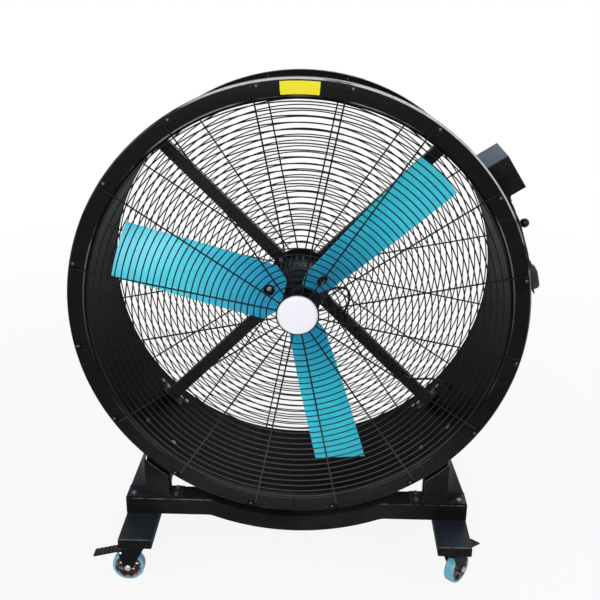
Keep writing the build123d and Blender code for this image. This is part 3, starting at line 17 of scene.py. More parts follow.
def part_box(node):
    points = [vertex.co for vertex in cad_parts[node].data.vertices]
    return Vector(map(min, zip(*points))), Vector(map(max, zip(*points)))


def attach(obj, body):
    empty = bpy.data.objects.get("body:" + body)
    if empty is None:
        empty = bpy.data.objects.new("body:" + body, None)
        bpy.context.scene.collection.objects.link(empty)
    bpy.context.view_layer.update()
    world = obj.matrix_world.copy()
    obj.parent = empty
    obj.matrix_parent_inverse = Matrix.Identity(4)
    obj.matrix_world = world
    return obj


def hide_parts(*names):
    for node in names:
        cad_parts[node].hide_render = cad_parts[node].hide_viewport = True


bl_info = {
    "name": "Mobile Drum Fan",
    "version": (1, 0, 0),
    "blender": (4, 5, 0),
    "location": "View3D > Sidebar > Drum Fan",
    "description": "Dresses a packed drum fan with guards, lip, cord and finishes",
    "category": "Object",
}

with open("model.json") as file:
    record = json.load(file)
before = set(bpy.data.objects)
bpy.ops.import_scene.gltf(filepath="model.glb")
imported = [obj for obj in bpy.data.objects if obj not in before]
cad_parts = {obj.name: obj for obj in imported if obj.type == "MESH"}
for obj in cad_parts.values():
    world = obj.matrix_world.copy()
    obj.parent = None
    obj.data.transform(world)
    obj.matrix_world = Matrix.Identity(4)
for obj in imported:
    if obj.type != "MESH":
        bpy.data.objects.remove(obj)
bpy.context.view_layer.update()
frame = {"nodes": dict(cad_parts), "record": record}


# ---- settings
def length(name, description, default):
    """Property for a size in metres."""
    return FloatProperty(name=name, description=description, default=default, unit="LENGTH", precision=4)


def colour(name, description, default):
    """Property for a surface colour."""
    return FloatVectorProperty(name=name, description=description, default=default, size=3,
                               subtype="COLOR", min=0.0, max=1.0)


def turn(name, description, default):
    """Property for an angle."""
    return FloatProperty(name=name, description=description, default=radians(default), subtype="ANGLE")


class DrumSizes(PropertyGroup):
    """Drum, front lip and yellow patch."""
    axis_height: length("Axis height", "Fan axis above the floor", 0.885)
    front_edge: length("Front edge", "Y of the front rolled edge", -0.2165)
    lip_crown: length("Lip crown", "Flat face in front of the rolled edge", 0.002)
    lip_radius: length("Lip radius", "Outer radius of the front lip", 0.700)
    face_radius: length("Face radius", "Inner edge of the lip's flat face", 0.649)
    bend_back: length("Bend back", "Inner edge of the lip's bend behind the rolled edge", 0.006)
    sheet: length("Sheet", "Thickness of the lip's sheet", 0.003)
    rim_return: length("Rim return", "Depth of the folded outer rim", 0.022)
    collar_radius: length("Collar radius", "Outer radius of the collar on the drum", 0.6462)
    collar_start: length("Collar start", "Front end of the drum behind the rolled edge", 0.014)
    collar_length: length("Collar length", "Length of the collar on the drum", 0.018)
    wall_radius: length("Wall radius", "Inner radius of the drum", 0.640)
    roll: length("Roll", "Radius of the rolled outer edge", 0.0075)
    notch_radius: length("Notch radius", "Middle of the groove under a spoke end", 0.6755)
    notch_length: length("Notch length", "Groove along the spoke", 0.017)
    notch_width: length("Notch width", "Groove across the spoke", 0.008)
    notch_depth: length("Notch depth", "Groove into the sheet", 0.002)
    seam_angle: turn("Seam angle", "Ground seam of the lip above +X", -90.6)
    seam_bead: length("Seam bead", "Radius of the ground seam", 0.0011)
    patch_left: turn("Patch left", "Left end of the yellow patch above +X", 94.6)
    patch_right: turn("Patch right", "Right end of the yellow patch above +X", 85.1)
    patch_inset: length("Patch inset", "Patch from the inner edge of the flat face", 0.005)
    patch_film: length("Patch film", "Thickness of the yellow patch", 0.0006)


class GuardSizes(PropertyGroup):
    """Wire guards, their clips and the cap."""
    rings: IntProperty(name="Rings", description="Rings of each guard", default=29)
    inner_radius: length("Inner radius", "Innermost ring", 0.094)
    outer_radius: length("Outer radius", "Outermost ring", 0.636)
    ring_wire: length("Ring wire", "Diameter of the ring wire", 0.004)
    spoke_wire: length("Spoke wire", "Diameter of the spoke wire", 0.005)
    spokes: IntProperty(name="Spokes", description="Spokes of each guard", default=16)
    first_spoke: turn("First spoke", "Angle of the first spoke above +X", 78.75)
    front_reach: length("Front reach", "Radius where a front spoke ends", 0.692)
    rear_reach: length("Rear reach", "Radius where a rear spoke ends", 0.666)
    hub_radius: length("Hub radius", "Centre plate of a guard", 0.066)
    plate: length("Plate", "Thickness of the centre plate", 0.003)
    cap_radius: length("Cap radius", "Round cap on the front guard", 0.062)
    cap_depth: length("Cap depth", "Thickness of the round cap", 0.012)
    screw_radius: length("Screw radius", "Head of a clip's screw", 0.0055)
    screw_height: length("Screw height", "Height of a screw's head", 0.004)
    screw_offset: length("Screw offset", "Screw beside its spoke", 0.015)
    front_screws: length("Front screws", "Screws of the front clips from the fan axis", 0.686)
    rear_screws: length("Rear screws", "Screws of the rear clips from the fan axis", 0.659)


class CordSizes(PropertyGroup):
    """Mains cord with its coil and plug."""
    diameter: length("Diameter", "Mains cord", 0.009)
    coil_angle: turn("Coil angle", "Middle of the coil above +X", 14.2)
    coil_radius: length("Coil radius", "First layer of the coil from the fan axis", 0.6832)
    coil_reach: length("Coil reach", "Outermost turn from the coil's middle", 0.086)
    coil_depth: length("Coil depth", "Middle of the coil behind the rolled edge", 0.226)
    pitch: length("Pitch", "Distance between neighbouring turns", 0.0108)
    layers: IntProperty(name="Layers", description="Layers of the coil", default=4)
    half_turns: IntProperty(name="Half turns", description="Half turns of a layer", default=4)
    points: IntProperty(name="Points", description="Curve points of a half turn", default=12)
    early: turn("Early end", "Last turn ends this much early", 30.0)
    plug_radius: length("Plug radius", "Body of the plug", 0.023)


class LookColours(PropertyGroup):
    """Colours of the finishes."""
    paint: colour("Paint", "Black powder coat", (0.0046, 0.0046, 0.0048))
    paint_dust: colour("Paint dust", "Dusty powder coat", (0.021, 0.021, 0.021))
    paint_chip: colour("Paint chip", "Scratched powder coat", (0.10, 0.105, 0.115))
    # Painted shade: a darker copy of the black powder coat for the drum shell, standing in for the shade inside
    # the drum
    paint_shaded_inside: colour("Inside paint", "Powder coat inside the drum", (0.0016, 0.0016, 0.0018))
    # Painted reflection: bluish colour standing in for the sky reflected by faces that look up
    paint_sky_reflection: colour("Top paint", "Bluish powder coat where it looks up", (0.017, 0.023, 0.034))
    # Painted reflection: bluish colour standing in for the sky reflected by the box's top face
    box_top_sky_reflection: colour("Box top", "Dust on the top of the control box", (0.050, 0.088, 0.160))
    wire: colour("Wire", "Coated guard wire", (0.0060, 0.0060, 0.0064))
    # Painted highlight colour of sheet edges, with some wear: lines mixed towards it stand in for light caught
    # by the edges
    edge: colour("Edge", "Worn sheet edges", (0.66, 0.665, 0.68))
    blade: colour("Blade", "Blue paint of the blades", (0.032, 0.67, 0.90))
    # Partly painted highlight: paler blue for streaks of light on the blades, partly random tone
    blade_pale_highlight: colour("Pale blade", "Rubbed blue paint", (0.095, 0.84, 0.96))
    # Painted shade: deeper blue standing in for the shade on the blades near the hub
    blade_root_shade: colour("Blade root", "Deeper blue near the hub", (0.018, 0.40, 0.74))
    cap: colour("Cap", "White cap", (0.77, 0.775, 0.83))
    patch: colour("Patch", "Bare yellow patch on the lip", (0.71, 0.63, 0.003))
    zinc: colour("Zinc", "Dull zinc plate", (0.20, 0.203, 0.21))
    bright: colour("Bright zinc", "Fresh zinc plate of the small bolts", (0.66, 0.66, 0.67))
    steel: colour("Steel", "Turned steel", (0.52, 0.52, 0.53))
    casting: colour("Casting", "Painted castings", (0.010, 0.0125, 0.0150))
    casting_dust: colour("Casting dust", "Dusty castings", (0.040, 0.055, 0.070))
    plastic: colour("Plastic", "Black plastic", (0.0060, 0.0060, 0.0065))
    rubber: colour("Rubber", "Cord sheath", (0.0055, 0.0055, 0.0060))
    plug: colour("Plug", "Grey plug", (0.034, 0.034, 0.033))
    tyre: colour("Tyre", "Light blue tyre", (0.19, 0.54, 0.72))
    core: colour("Core", "Wheel core", (0.028, 0.020, 0.019))
    core_worn: colour("Worn core", "Rubbed places of the wheel core", (0.34, 0.225, 0.21))
    floor: colour("Floor", "Pale floor", (0.86, 0.86, 0.87))


class ViewSizes(PropertyGroup):
    """Camera of the front view."""
    place: FloatVectorProperty(name="Place", description="Camera position", size=3, unit="LENGTH",
                               default=(0.0715, -2.7541, 1.9022))
    heading: turn("Heading", "Camera turned away from +Y towards +X", -1.4553)
    pitch: turn("Pitch", "Camera looks down by", 20.953)
    roll: turn("Roll", "Camera rolled about its own axis", 0.5157)
    lens: FloatProperty(name="Lens", description="Focal length on a 36 mm sensor in millimetres",
                        default=54.33)


def drum():
    """Sizes of the drum."""
    return bpy.context.scene.fan_drum


def guard():
    """Sizes of the guards."""
    return bpy.context.scene.fan_guard


def wound():
    """Sizes of the mains cord."""
    return bpy.context.scene.fan_cord


def looks():
    """Colours of the finishes."""
    return bpy.context.scene.fan_looks


# ---- shader wiring
class Wire:
    """Output of a shader node; sums, differences and products of wires add their Math nodes."""

    def __init__(self, board, socket):
        self.board = board
        self.socket = socket

    def maths(self, operation, first, second):
        """Math node on two numbers or wires."""
        return self.board.add("ShaderNodeMath", {"operation": operation}, {0: first, 1: second})

    def out(self, name):
        """Another output of the same node."""
        return Wire(self.board, self.socket.node.outputs[name])

    def __add__(self, other):
        return self.maths("ADD", self, other)

    def __sub__(self, other):
        return self.maths("SUBTRACT", self, other)

    def __rsub__(self, other):
        return self.maths("SUBTRACT", other, self)

    def __mul__(self, other):
        return self.maths("MULTIPLY", self, other)

    __radd__ = __add__
    __rmul__ = __mul__


class Board:
    """Node tree of one finish, or of the world."""

    def __init__(self, name, kind="materials", surface="Principled BSDF"):
        self.owner = getattr(bpy.data, kind).new(name)
        self.owner.use_nodes = True
        self.tree = self.owner.node_tree
        self.surface = self.tree.nodes[surface]

    def add(self, kind, settings=None, values=None):
        """Node of any type with its settings, and the values or links of its sockets."""
        node = self.tree.nodes.new(kind)
        for name, value in (settings or {}).items():
            setattr(node, name, value)
        for key, value in (values or {}).items():
            self.feed(node.inputs[key], value)
        return Wire(self, next(socket for socket in node.outputs if socket.enabled))

    def feed(self, socket, value):
        """Link a wire to a socket, or set the socket's own value."""
        if isinstance(value, Wire):
            self.tree.links.new(value.socket, socket)
        elif socket.type == "RGBA":
            socket.default_value = (*value, 1.0)
        else:
            socket.default_value = value

    def here(self):
        """Object coordinates."""
        return self.add("ShaderNodeTexCoord").out("Object")

    def facing_value(self, axis):
        """Cosine between the surface and an axis."""
        normal = self.add("ShaderNodeTexCoord").out("Normal")
        return self.add("ShaderNodeSeparateXYZ", None, {0: normal}).out(axis)

    def facing(self, axis, low, high):
        """1 where the surface looks along an axis, from the cosines low to high."""
        return self.step(self.facing_value(axis), low, high)

    def coordinate(self, axis):
        """One object coordinate."""
        return self.add("ShaderNodeSeparateXYZ", None, {0: self.here()}).out(axis)

    def from_axis(self):
        """Distance from the fan axis."""
        flat = self.add("ShaderNodeMapping", None, {
            "Vector": self.here(), "Scale": (1.0, 0.0, 1.0), "Location": (0.0, 0.0, -drum().axis_height)})
        return self.add("ShaderNodeVectorMath", {"operation": "LENGTH"}, {0: flat}).out("Value")

    def noise(self, scale, detail=3.0, rough=0.5, stretch=(1.0, 1.0, 1.0), turned=(0.0, 0.0, 0.0)):
        """Noise between 0 and 1 over the piece, with the scale in waves a metre."""
        place = self.add("ShaderNodeMapping", None, {
            "Vector": self.here(), "Scale": stretch, "Rotation": turned})
        return self.add("ShaderNodeTexNoise", None, {
            "Vector": place, "Scale": scale, "Detail": detail, "Roughness": rough})

    def cells(self, scale):
        """Distance to the nearest point of a cell pattern."""
        return self.add("ShaderNodeTexVoronoi", None, {"Vector": self.here(), "Scale": scale})

    def step(self, value, low, high):
        """0 below low, 1 above high and smooth between them."""
        return self.add("ShaderNodeMapRange", {"interpolation_type": "SMOOTHSTEP"},
                        {"Value": value, "From Min": low, "From Max": high})

    def mix(self, share, first, second):
        """Colour between two colours."""
        mixed = self.add("ShaderNodeMix", {"data_type": "RGBA"}, {0: share, 6: first, 7: second})
        return Wire(self, mixed.socket.node.outputs[2])

    def bump(self, height, strength, distance, under=None):
        """Bump of a height, on top of another bump."""
        values = {"Height": height, "Strength": strength, "Distance": distance}
        if under is not None:
            values["Normal"] = under
        return self.add("ShaderNodeBump", None, values)

    def finish(self, **values):
        """Set or link the surface's sockets, named with underscores for blanks."""
        for name, value in values.items():
            self.feed(self.surface.inputs[name.replace("_", " ")], value)
        return self.owner


# ---- finishes
def powder_coat(name, chips, dust, gloss=0.07, dark=None, top=None, marks=None, coat=None):
    """Satin black powder coat with its fine orange peel, dust, rubbed places and scratches.

    top holds a colour and two cosines for faces that look up, which get a painted sky reflection; marks a
    function for a mask of lighter lines, mostly painted edge highlights with some wear; coat a function for the
    weight of a clear coat.
    """
    board = Board(name)
    colours = looks()
    peel = board.noise(620.0, 2.0, 0.55)
    grain = board.noise(95.0, 4.0, 0.6)
    cloud = board.noise(5.0, 5.0, 0.62)
    smear = board.noise(2.2, 4.0, 0.55, (1.0, 3.0, 5.0), (0.3, 0.2, 0.5))
    dusty = board.step(cloud * 0.65 + smear * 0.35 + grain * 0.12, 0.52 - dust, 0.86 - dust)
    scratches = board.step(board.noise(110.0, 2.0, 0.4, (0.05, 1.0, 1.6), (0.0, 0.4, 0.35)), 0.70, 0.735)
    crossing = board.step(board.noise(90.0, 2.0, 0.4, (1.2, 0.9, 0.05), (0.7, 0.1, 0.2)), 0.71, 0.745)
    patchy = board.step(board.noise(16.0, 3.0), 0.53, 0.66)
    worn = (scratches + crossing) * patchy * chips
    paint = board.mix(dusty * 0.6, dark or colours.paint, colours.paint_dust)
    # Painted sky reflection: faces that look up are mixed towards a bluish colour, in streaks
    if top:
        tint, low, high = top
        reflection_streaks = board.noise(70.0, 3.0, 0.5, (0.12, 1.0, 1.0))
        paint = board.mix(board.facing("Z", low, high) * (0.55 + reflection_streaks * 0.6), paint, tint)
    paint = board.mix(worn, paint, colours.paint_chip)
    # Painted edge highlights with some wear: the marks' mask mixes the paint towards the pale edge colour
    if marks:
        paint = board.mix(marks(board, grain), paint, colours.edge)
    rough = 0.32 + grain * 0.10 + dusty * 0.16 - worn * 0.05
    ripple = board.bump(peel, 0.22, 0.0006)
    dent = board.bump(cloud, 0.05, 0.004, ripple)
    clear = {"Coat_Weight": coat(board), "Coat_Roughness": 0.34} if coat else {}
    return board.finish(Base_Color=paint, Roughness=rough, Normal=dent, Specular_IOR_Level=gloss, **clear)


def outer_sheen(board):
    """Clear coat on the drum's outside only."""
    wall = drum().wall_radius
    return board.step(board.from_axis(), wall + 0.0010, wall + 0.0025) * 0.55


def rim_highlight_and_wear(board, grain):
    """Lighter lines of the lip, mostly above: a painted highlight with some wear, and dust below.

    One line is on its outer edge right of the top left, a fainter painted highlight on its inner bend.
    """
    sizes = drum()
    away = board.from_axis()
    rolled = board.step(away, sizes.lip_radius - 0.0062, sizes.lip_radius - 0.0034)
    front = 1.0 - board.step(board.coordinate("Y"), sizes.front_edge + 0.006, sizes.front_edge + 0.012)
    bend = board.step(away, sizes.face_radius - 0.0028, sizes.face_radius - 0.0012)
    bend = bend * (1.0 - board.step(away, sizes.face_radius + 0.0012, sizes.face_radius + 0.0028))
    # The painted highlight is stronger above and right of the top left, where the light falls
    upper = board.step(board.coordinate("Z"), 0.75, 1.35)
    rightwards = board.step(board.coordinate("X"), -0.40, -0.22) * 0.92 + 0.08
    broken = board.step(board.noise(6.0, 4.0, 0.6), 0.34, 0.52)
    soft = board.step(board.noise(4.0, 3.0, 0.6, (1.0, 1.0, 1.0), (0.4, 0.0, 1.0)), 0.44, 0.60)
    lines = rolled * broken * rightwards * (upper * 0.90 + 0.08) + bend * soft * (upper * 0.26 + 0.05)
    dust = board.step(board.coordinate("Z"), 0.60, 0.24) * grain * 0.035
    return lines * front * (0.6 + grain * 0.5) + dust


def paler_below(board, grain):
    """Paler towards the bottom of a guard."""
    return board.step(board.coordinate("Z"), 0.62, 0.40) * (grain * 0.05 + 0.035)


def sheet_edge_highlights(board, grain):
    """Painted highlight on the cut edges of the supports that look inwards."""
    inward = board.coordinate("X") * board.facing_value("X") * -1.0
    return board.step(inward, 0.16, 0.30) * board.step(grain, 0.30, 0.60) * 0.30


def top_edge_highlight(node, strength):
    """Painted highlight, with some wear, along the front top edge of a node."""
    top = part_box(node)[1].z

    def marks(board, grain):
        """Mask of the line, broken along its length."""
        line = board.step(board.coordinate("Z"), top - 0.0040, top - 0.0022)
        front = board.facing("Y", -0.4, -0.8)
        broken = board.step(board.noise(18.0, 4.0, 0.6), 0.36, 0.60)
        return line * front * broken * (0.5 + grain * 0.6) * strength
    return marks


def blade_paint():
    """Blue gloss paint: soft roller marks, paler streaks partly painted highlight, painted shade at the root,
    rubbed spots.
    """
    board = Board("blade_blue")
    colours = looks()
    drag = board.noise(9.0, 4.0, 0.55, (1.0, 1.0, 4.0), (0.0, 0.6, 0.0))
    fine = board.noise(340.0, 2.0)
    cloud = board.noise(3.4, 4.0, 0.6)
    speck = 1.0 - board.step(board.cells(140.0), 0.02, 0.05)
    patchy = board.step(board.noise(11.0, 2.0), 0.58, 0.66)
    highlight_streaks = board.step(drag * 0.4 + cloud * 0.6, 0.34, 0.68)
    away = board.from_axis()
    # Paler streaks, partly random tone and partly a painted highlight
    paint = board.mix(highlight_streaks * 0.7, colours.blade, colours.blade_pale_highlight)
    # Painted shade, deeper towards the hub
    paint = board.mix(board.step(away, 0.42, 0.06) * 0.9, paint, colours.blade_root_shade)
    paint = board.mix(speck * patchy * 0.55, paint, (0.02, 0.16, 0.26))
    peel = board.bump(fine, 0.10, 0.0006)
    wave = board.bump(cloud, 0.08, 0.006, peel)
    return board.finish(Base_Color=paint, Roughness=0.30 + drag * 0.14 + speck * 0.1, Normal=wave,
                        Coat_Weight=0.2, Coat_Roughness=0.2, Specular_IOR_Level=0.35)


def ball_gloss():
    """Polished black ball and its bent plate, with fingerprints and fine swirls."""
    board = Board("hook_gloss")
    smudges = board.step(board.noise(60.0, 5.0, 0.65), 0.5, 0.7)
    swirl = board.noise(300.0, 3.0, 0.6, (1.0, 1.0, 0.3))
    paint = board.mix(smudges * 0.4, looks().paint, looks().paint_dust)
    return board.finish(Base_Color=paint, Roughness=0.10 + smudges * 0.14 + swirl * 0.05,
                        Normal=board.bump(swirl, 0.05, 0.0002), Specular_IOR_Level=0.22)


def cap_plastic():
    """Gloss white moulding with a faint sink pattern and dust."""
    board = Board("cap_white")
    cloud = board.noise(26.0, 4.0)
    fine = board.noise(900.0, 2.0)
    grime = board.step(board.noise(70.0, 5.0, 0.65), 0.60, 0.80)
    paint = board.mix(cloud * 0.14 + grime * 0.16, looks().cap, (0.55, 0.54, 0.56))
    return board.finish(Base_Color=paint, Roughness=0.20 + grime * 0.2 + cloud * 0.08,
                        Normal=board.bump(fine, 0.06, 0.0004))


def patch_film():
    """Bare yellow film with fine wrinkles."""
    board = Board("yellow_film")
    crease = board.noise(55.0, 4.0, 0.6, (1.0, 1.0, 3.0))
    cloud = board.noise(30.0, 4.0, 0.6)
    grime = board.step(board.noise(120.0, 4.0, 0.6), 0.58, 0.8)
    paint = board.mix(grime * 0.35 + cloud * 0.25, looks().patch, (0.50, 0.42, 0.03))
    return board.finish(Base_Color=paint, Roughness=0.38 + grime * 0.2,
                        Normal=board.bump(crease, 0.35, 0.0008), Specular_IOR_Level=0.2)


def plated_metal(name, tint, spangle, rough):
    """Plated or turned steel with fine brush lines and cloudy plating."""
    board = Board(name)
    lines = board.noise(900.0, 2.0, 0.5, (1.0, 1.0, 0.12))
    cloud = board.noise(150.0, 4.0, 0.6)
    spot = board.step(board.noise(420.0, 3.0, 0.6), 0.56, 0.74)
    warm = board.mix(cloud * spangle, tint, (tint[0] * 0.9, tint[1] * 0.82, tint[2] * 0.66))
    paint = board.mix(spot * 0.45, warm, shaded(tint, 0.6))
    return board.finish(Base_Color=paint, Metallic=1.0, Roughness=rough + lines * 0.10 + cloud * 0.12,
                        Normal=board.bump(lines, 0.14, 0.0002))


def cast_paint():
    """Painted casting: soft sand texture, thicker paint and dust on it."""
    board = Board("motor_black")
    colours = looks()
    sand = board.noise(420.0, 3.0, 0.6)
    lump = board.noise(60.0, 3.0)
    dusty = board.step(board.noise(14.0, 4.0, 0.6), 0.42, 0.70)
    up = board.facing("Z", 0.1, 0.8)
    # Lighter where the surface looks up, besides the random dusty places
    paint = board.mix(dusty * 0.45 + up * 0.5, colours.casting, colours.casting_dust)
    rough = board.bump(sand, 0.35, 0.0007)
    return board.finish(Base_Color=paint, Roughness=0.40 + dusty * 0.18 + sand * 0.08,
                        Normal=board.bump(lump, 0.12, 0.002, rough), Specular_IOR_Level=0.16)


def moulded(name, tint, rough, grain_scale):
    """Moulded plastic with a fine spark texture and handling marks."""
    board = Board(name)
    grain = board.noise(grain_scale, 2.0, 0.6)
    marks = board.step(board.noise(45.0, 5.0, 0.65), 0.52, 0.78)
    lighter = tuple(min(1.0, part * 1.9 + 0.004) for part in tint)
    paint = board.mix(marks * 0.45 + grain * 0.12, tint, lighter)
    return board.finish(Base_Color=paint, Roughness=rough + marks * 0.14 + grain * 0.06,
                        Normal=board.bump(grain, 0.3, 0.0004), Specular_IOR_Level=0.12)


def wheel_core():
    """Brown cast core: dark pockets and rubbed, paler ribs."""
    board = Board("core_brown")
    sand = board.noise(600.0, 2.0, 0.6)
    worn = board.step(board.noise(75.0, 3.0, 0.55) + sand * 0.06, 0.50, 0.62)
    paint = board.mix(worn * 0.85, looks().core, looks().core_worn)
    return board.finish(Base_Color=paint, Roughness=0.44 - worn * 0.14 + sand * 0.08,
                        Normal=board.bump(sand, 0.3, 0.0004), Specular_IOR_Level=0.3)


def sheath_rubber():
    """Smooth black sheath with a faint matt bloom and dust."""
    board = Board("cord_rubber")
    fine = board.noise(1400.0, 2.0)
    bloom = board.step(board.noise(38.0, 4.0, 0.6), 0.45, 0.72)
    paint = board.mix(bloom * 0.5, looks().rubber, (0.016, 0.016, 0.017))
    return board.finish(Base_Color=paint, Roughness=0.30 + bloom * 0.2, Normal=board.bump(fine, 0.15, 0.0003),
                        Specular_IOR_Level=0.22)


def tyre_polyurethane():
    """Translucent light blue tyre with a scuffed, dusty tread."""
    board = Board("tyre_blue")
    scuff = board.step(board.noise(26.0, 4.0, 0.6), 0.44, 0.78)
    fine = board.noise(700.0, 2.0)
    cloud = board.noise(30.0, 3.0)
    paint = board.mix(scuff * 0.35, looks().tyre, (0.30, 0.64, 0.76))
    paint = board.mix(cloud * 0.30, paint, (0.07, 0.27, 0.42))
    return board.finish(Base_Color=paint, Roughness=0.26 + scuff * 0.25,
                        Normal=board.bump(fine + scuff, 0.12, 0.0003), Subsurface_Weight=0.5,
                        Subsurface_Radius=(0.006, 0.010, 0.014), Subsurface_Scale=1.0,
                        Transmission_Weight=0.18, Coat_Weight=0.2, Coat_Roughness=0.2)


def shaded(tint, share):
    """Colour with all its parts multiplied."""
    return tuple(part * share for part in tint)


def make_coats():
    """Powder coats by name, each with its share of chips and of dust."""
    colours = looks()
    # The top entries paint a sky reflection on faces that look up; the marks of the lip, legs, beams and
    # supports paint edge highlights with some wear
    coats = {
        "black_paint": {"chips": 0.35, "dust": 0.0},
        "lip_paint": {"chips": 0.20, "dust": -0.05, "gloss": 0.045, "marks": rim_highlight_and_wear},
        # drum_paint takes the darker painted-shade colour, with a clear coat only on the outside
        "drum_paint": {"chips": 0.30, "dust": -0.03, "gloss": 0.012, "dark": colours.paint_shaded_inside,
                       "coat": outer_sheen},
        "wire_coat": {"chips": 0.10, "dust": -0.04, "gloss": 0.10, "dark": colours.wire, "marks": paler_below},
        "leg_paint": {"chips": 0.80, "dust": 0.05, "top": (colours.paint_sky_reflection, 0.3, 0.9),
                      "marks": top_edge_highlight("left_leg", 0.26)},
        "beam_paint": {"chips": 0.45, "dust": 0.06, "marks": top_edge_highlight("front_beam", 0.22)},
        "support_paint": {"chips": 0.45, "dust": 0.14, "top": (colours.paint_sky_reflection, 0.05, 0.4),
                          "marks": sheet_edge_highlights},
        "arm_paint": {"chips": 0.60, "dust": 0.10, "gloss": 0.12,
                      "top": (shaded(colours.paint_sky_reflection, 1.8), -0.2, 0.7)},
        "box_paint": {"chips": 0.35, "dust": 0.12, "gloss": 0.04, "top": (colours.box_top_sky_reflection, 0.62, 0.82)},
    }
    return {name: powder_coat(name, **settings) for name, settings in coats.items()}


def make_metals():
    """Plated and turned metals by name, each with its colour, share of spangle and roughness."""
    colours = looks()
    metals = {
        "zinc_plate": (colours.zinc, 0.35, 0.34),
        "screw_zinc": (shaded(colours.zinc, 0.45), 0.35, 0.24),
        "axle_zinc": (colours.bright, 0.45, 0.26),
        "bright_zinc": (colours.bright, 0.25, 0.22),
        "machined_steel": (colours.steel, 0.10, 0.28),
    }
    return {name: plated_metal(name, *settings) for name, settings in metals.items()}


def make_finishes():
    """All finishes by name: the record's slots, and the scene's own ones for some of their nodes."""
    return {
        **make_coats(),
        **make_metals(),
        "hook_gloss": ball_gloss(),
        "blade_blue": blade_paint(),
        "cap_white": cap_plastic(),
        "yellow_film": patch_film(),
        "motor_black": cast_paint(),
        "black_plastic": moulded("black_plastic", looks().plastic, 0.36, 800.0),
        "plug_grey": moulded("plug_grey", looks().plug, 0.40, 700.0),
        "cord_rubber": sheath_rubber(),
        "tyre_blue": tyre_polyurethane(),
        "core_brown": wheel_core(),
    }


finishes = {}


def finish_for(slot):
    """Finish of a slot; all are made at the first call."""
    if not finishes:
        finishes.update(make_finishes())
    return finishes[slot]


# ---- mesh helpers
def new_object(name, data):
    """Object from data of any kind, in the scene."""
    made = bpy.data.objects.new(name, data)
    bpy.context.scene.collection.objects.link(made)
    return made


def mesh_object(name, mesh):
    """Object from a bmesh, which is freed."""
    data = bpy.data.meshes.new(name)
    mesh.to_mesh(data)
    mesh.free()
    return new_object(name, data)


def piece(mesh, name, slot, body="base", finish=None, smooth=35.0):
    """Piece from a finished bmesh: closed, facing outwards, in its finish and on its body."""
    bmesh.ops.remove_doubles(mesh, verts=mesh.verts, dist=1e-6)
    bmesh.ops.recalc_face_normals(mesh, faces=mesh.faces)
    made = mesh_object(name, mesh)
    data = made.data
    data.shade_smooth()
    data.set_sharp_from_angle(angle=radians(smooth))
    data.materials.append(finish_for(finish or slot))
    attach(made, body)
    return made


def spin_round(mesh, geometry, centre, axis, steps):
    """Full turn of edges round an axis."""
    bmesh.ops.spin(mesh, geom=geometry, cent=centre, axis=axis, angle=tau, steps=steps, use_merge=True)


def lathe(mesh, profile, centre, axis, steps, across=None, closed=False):
    """Body of revolution from a profile of distances along the axis and radii."""
    axis = Vector(axis).normalized()
    across = Vector(across) if across else axis.orthogonal().normalized()
    verts = [mesh.verts.new(Vector(centre) + axis * along + across * radius) for along, radius in profile]
    pairs = list(zip(verts, verts[1:])) + ([(verts[-1], verts[0])] if closed else [])
    edges = [mesh.edges.new(pair) for pair in pairs]
    spin_round(mesh, verts + edges, centre, axis, steps)


def hoop(mesh, centre, radius, wire, steps):
    """Ring of round wire round the fan axis."""
    place = Matrix.Translation(Vector(centre) + Vector((radius, 0, 0)))
    made = bmesh.ops.create_circle(mesh, cap_ends=False, segments=8, radius=wire / 2, matrix=place)
    edges = list({edge for vert in made["verts"] for edge in vert.link_edges})
    spin_round(mesh, made["verts"] + edges, centre, (0, 1, 0), steps)


def bar(mesh, start, end, radius, sides=10, end_radius=None):
    """Round bar between two points."""
    start, end = Vector(start), Vector(end)
    way = end - start
    turned = way.to_track_quat("Z", "Y").to_matrix().to_4x4()
    bmesh.ops.create_cone(mesh, cap_ends=True, cap_tris=False, segments=sides, radius1=radius,
                          radius2=radius if end_radius is None else end_radius, depth=way.length,
                          matrix=Matrix.Translation((start + end) / 2) @ turned)


def face_point(angle, radius, y, side=0.0):
    """Point at an angle above +X and a radius from the fan axis, moved sideways anticlockwise."""
    return Vector((radius * cos(angle) - side * sin(angle), y,
                   drum().axis_height + radius * sin(angle) + side * cos(angle)))


def spoke_angles():
    """Angles of all spokes."""
    sizes = guard()
    return [sizes.first_spoke + number * tau / sizes.spokes for number in range(sizes.spokes)]


# ---- camera and cord
class FAN_OT_camera(Operator):
    """Camera in front of the fan, above its middle"""
    bl_idname = "fan.camera"
    bl_label = "Camera"

    def execute(self, context):
        view = context.scene.fan_view
        down, aside = view.pitch, view.heading
        ahead = Vector((sin(aside) * cos(down), cos(aside) * cos(down), -sin(down)))
        right = Vector((cos(aside), -sin(aside), 0.0))
        up = right.cross(ahead)
        tilted_right = right * cos(view.roll) + up * sin(view.roll)
        tilted_up = up * cos(view.roll) - right * sin(view.roll)
        lens = bpy.data.cameras.new("front_camera")
        lens.lens = view.lens
        lens.sensor_width = 36.0
        lens.clip_end = 200.0
        made = new_object("front_camera", lens)
        turned = Matrix((tilted_right, tilted_up, -ahead)).transposed().to_4x4()
        made.matrix_world = Matrix.Translation(Vector(view.place)) @ turned
        context.scene.camera = made
        return {"FINISHED"}


# Middle line of the cord from its gland to the coil, in the row frame
LEAD_IN = (
    (0.6349, -0.0765, 1.2058),
    (0.6512, -0.0765, 1.1806),
    (0.6590, -0.0725, 1.1470),
    (0.6570, -0.0705, 1.1160),
    (0.6525, -0.0765, 1.0914),
    (0.6601, -0.0765, 1.0613),
)
# And from the coil to the plug: to the rear, up and outwards from the coil's middle
TAIL = (
    (-0.0840, 0.0366, 0.0324),
    (-0.0990, 0.0106, 0.0324),
    (-0.1020, -0.0070, 0.0338),
    (-0.1020, -0.0350, 0.0338),
)


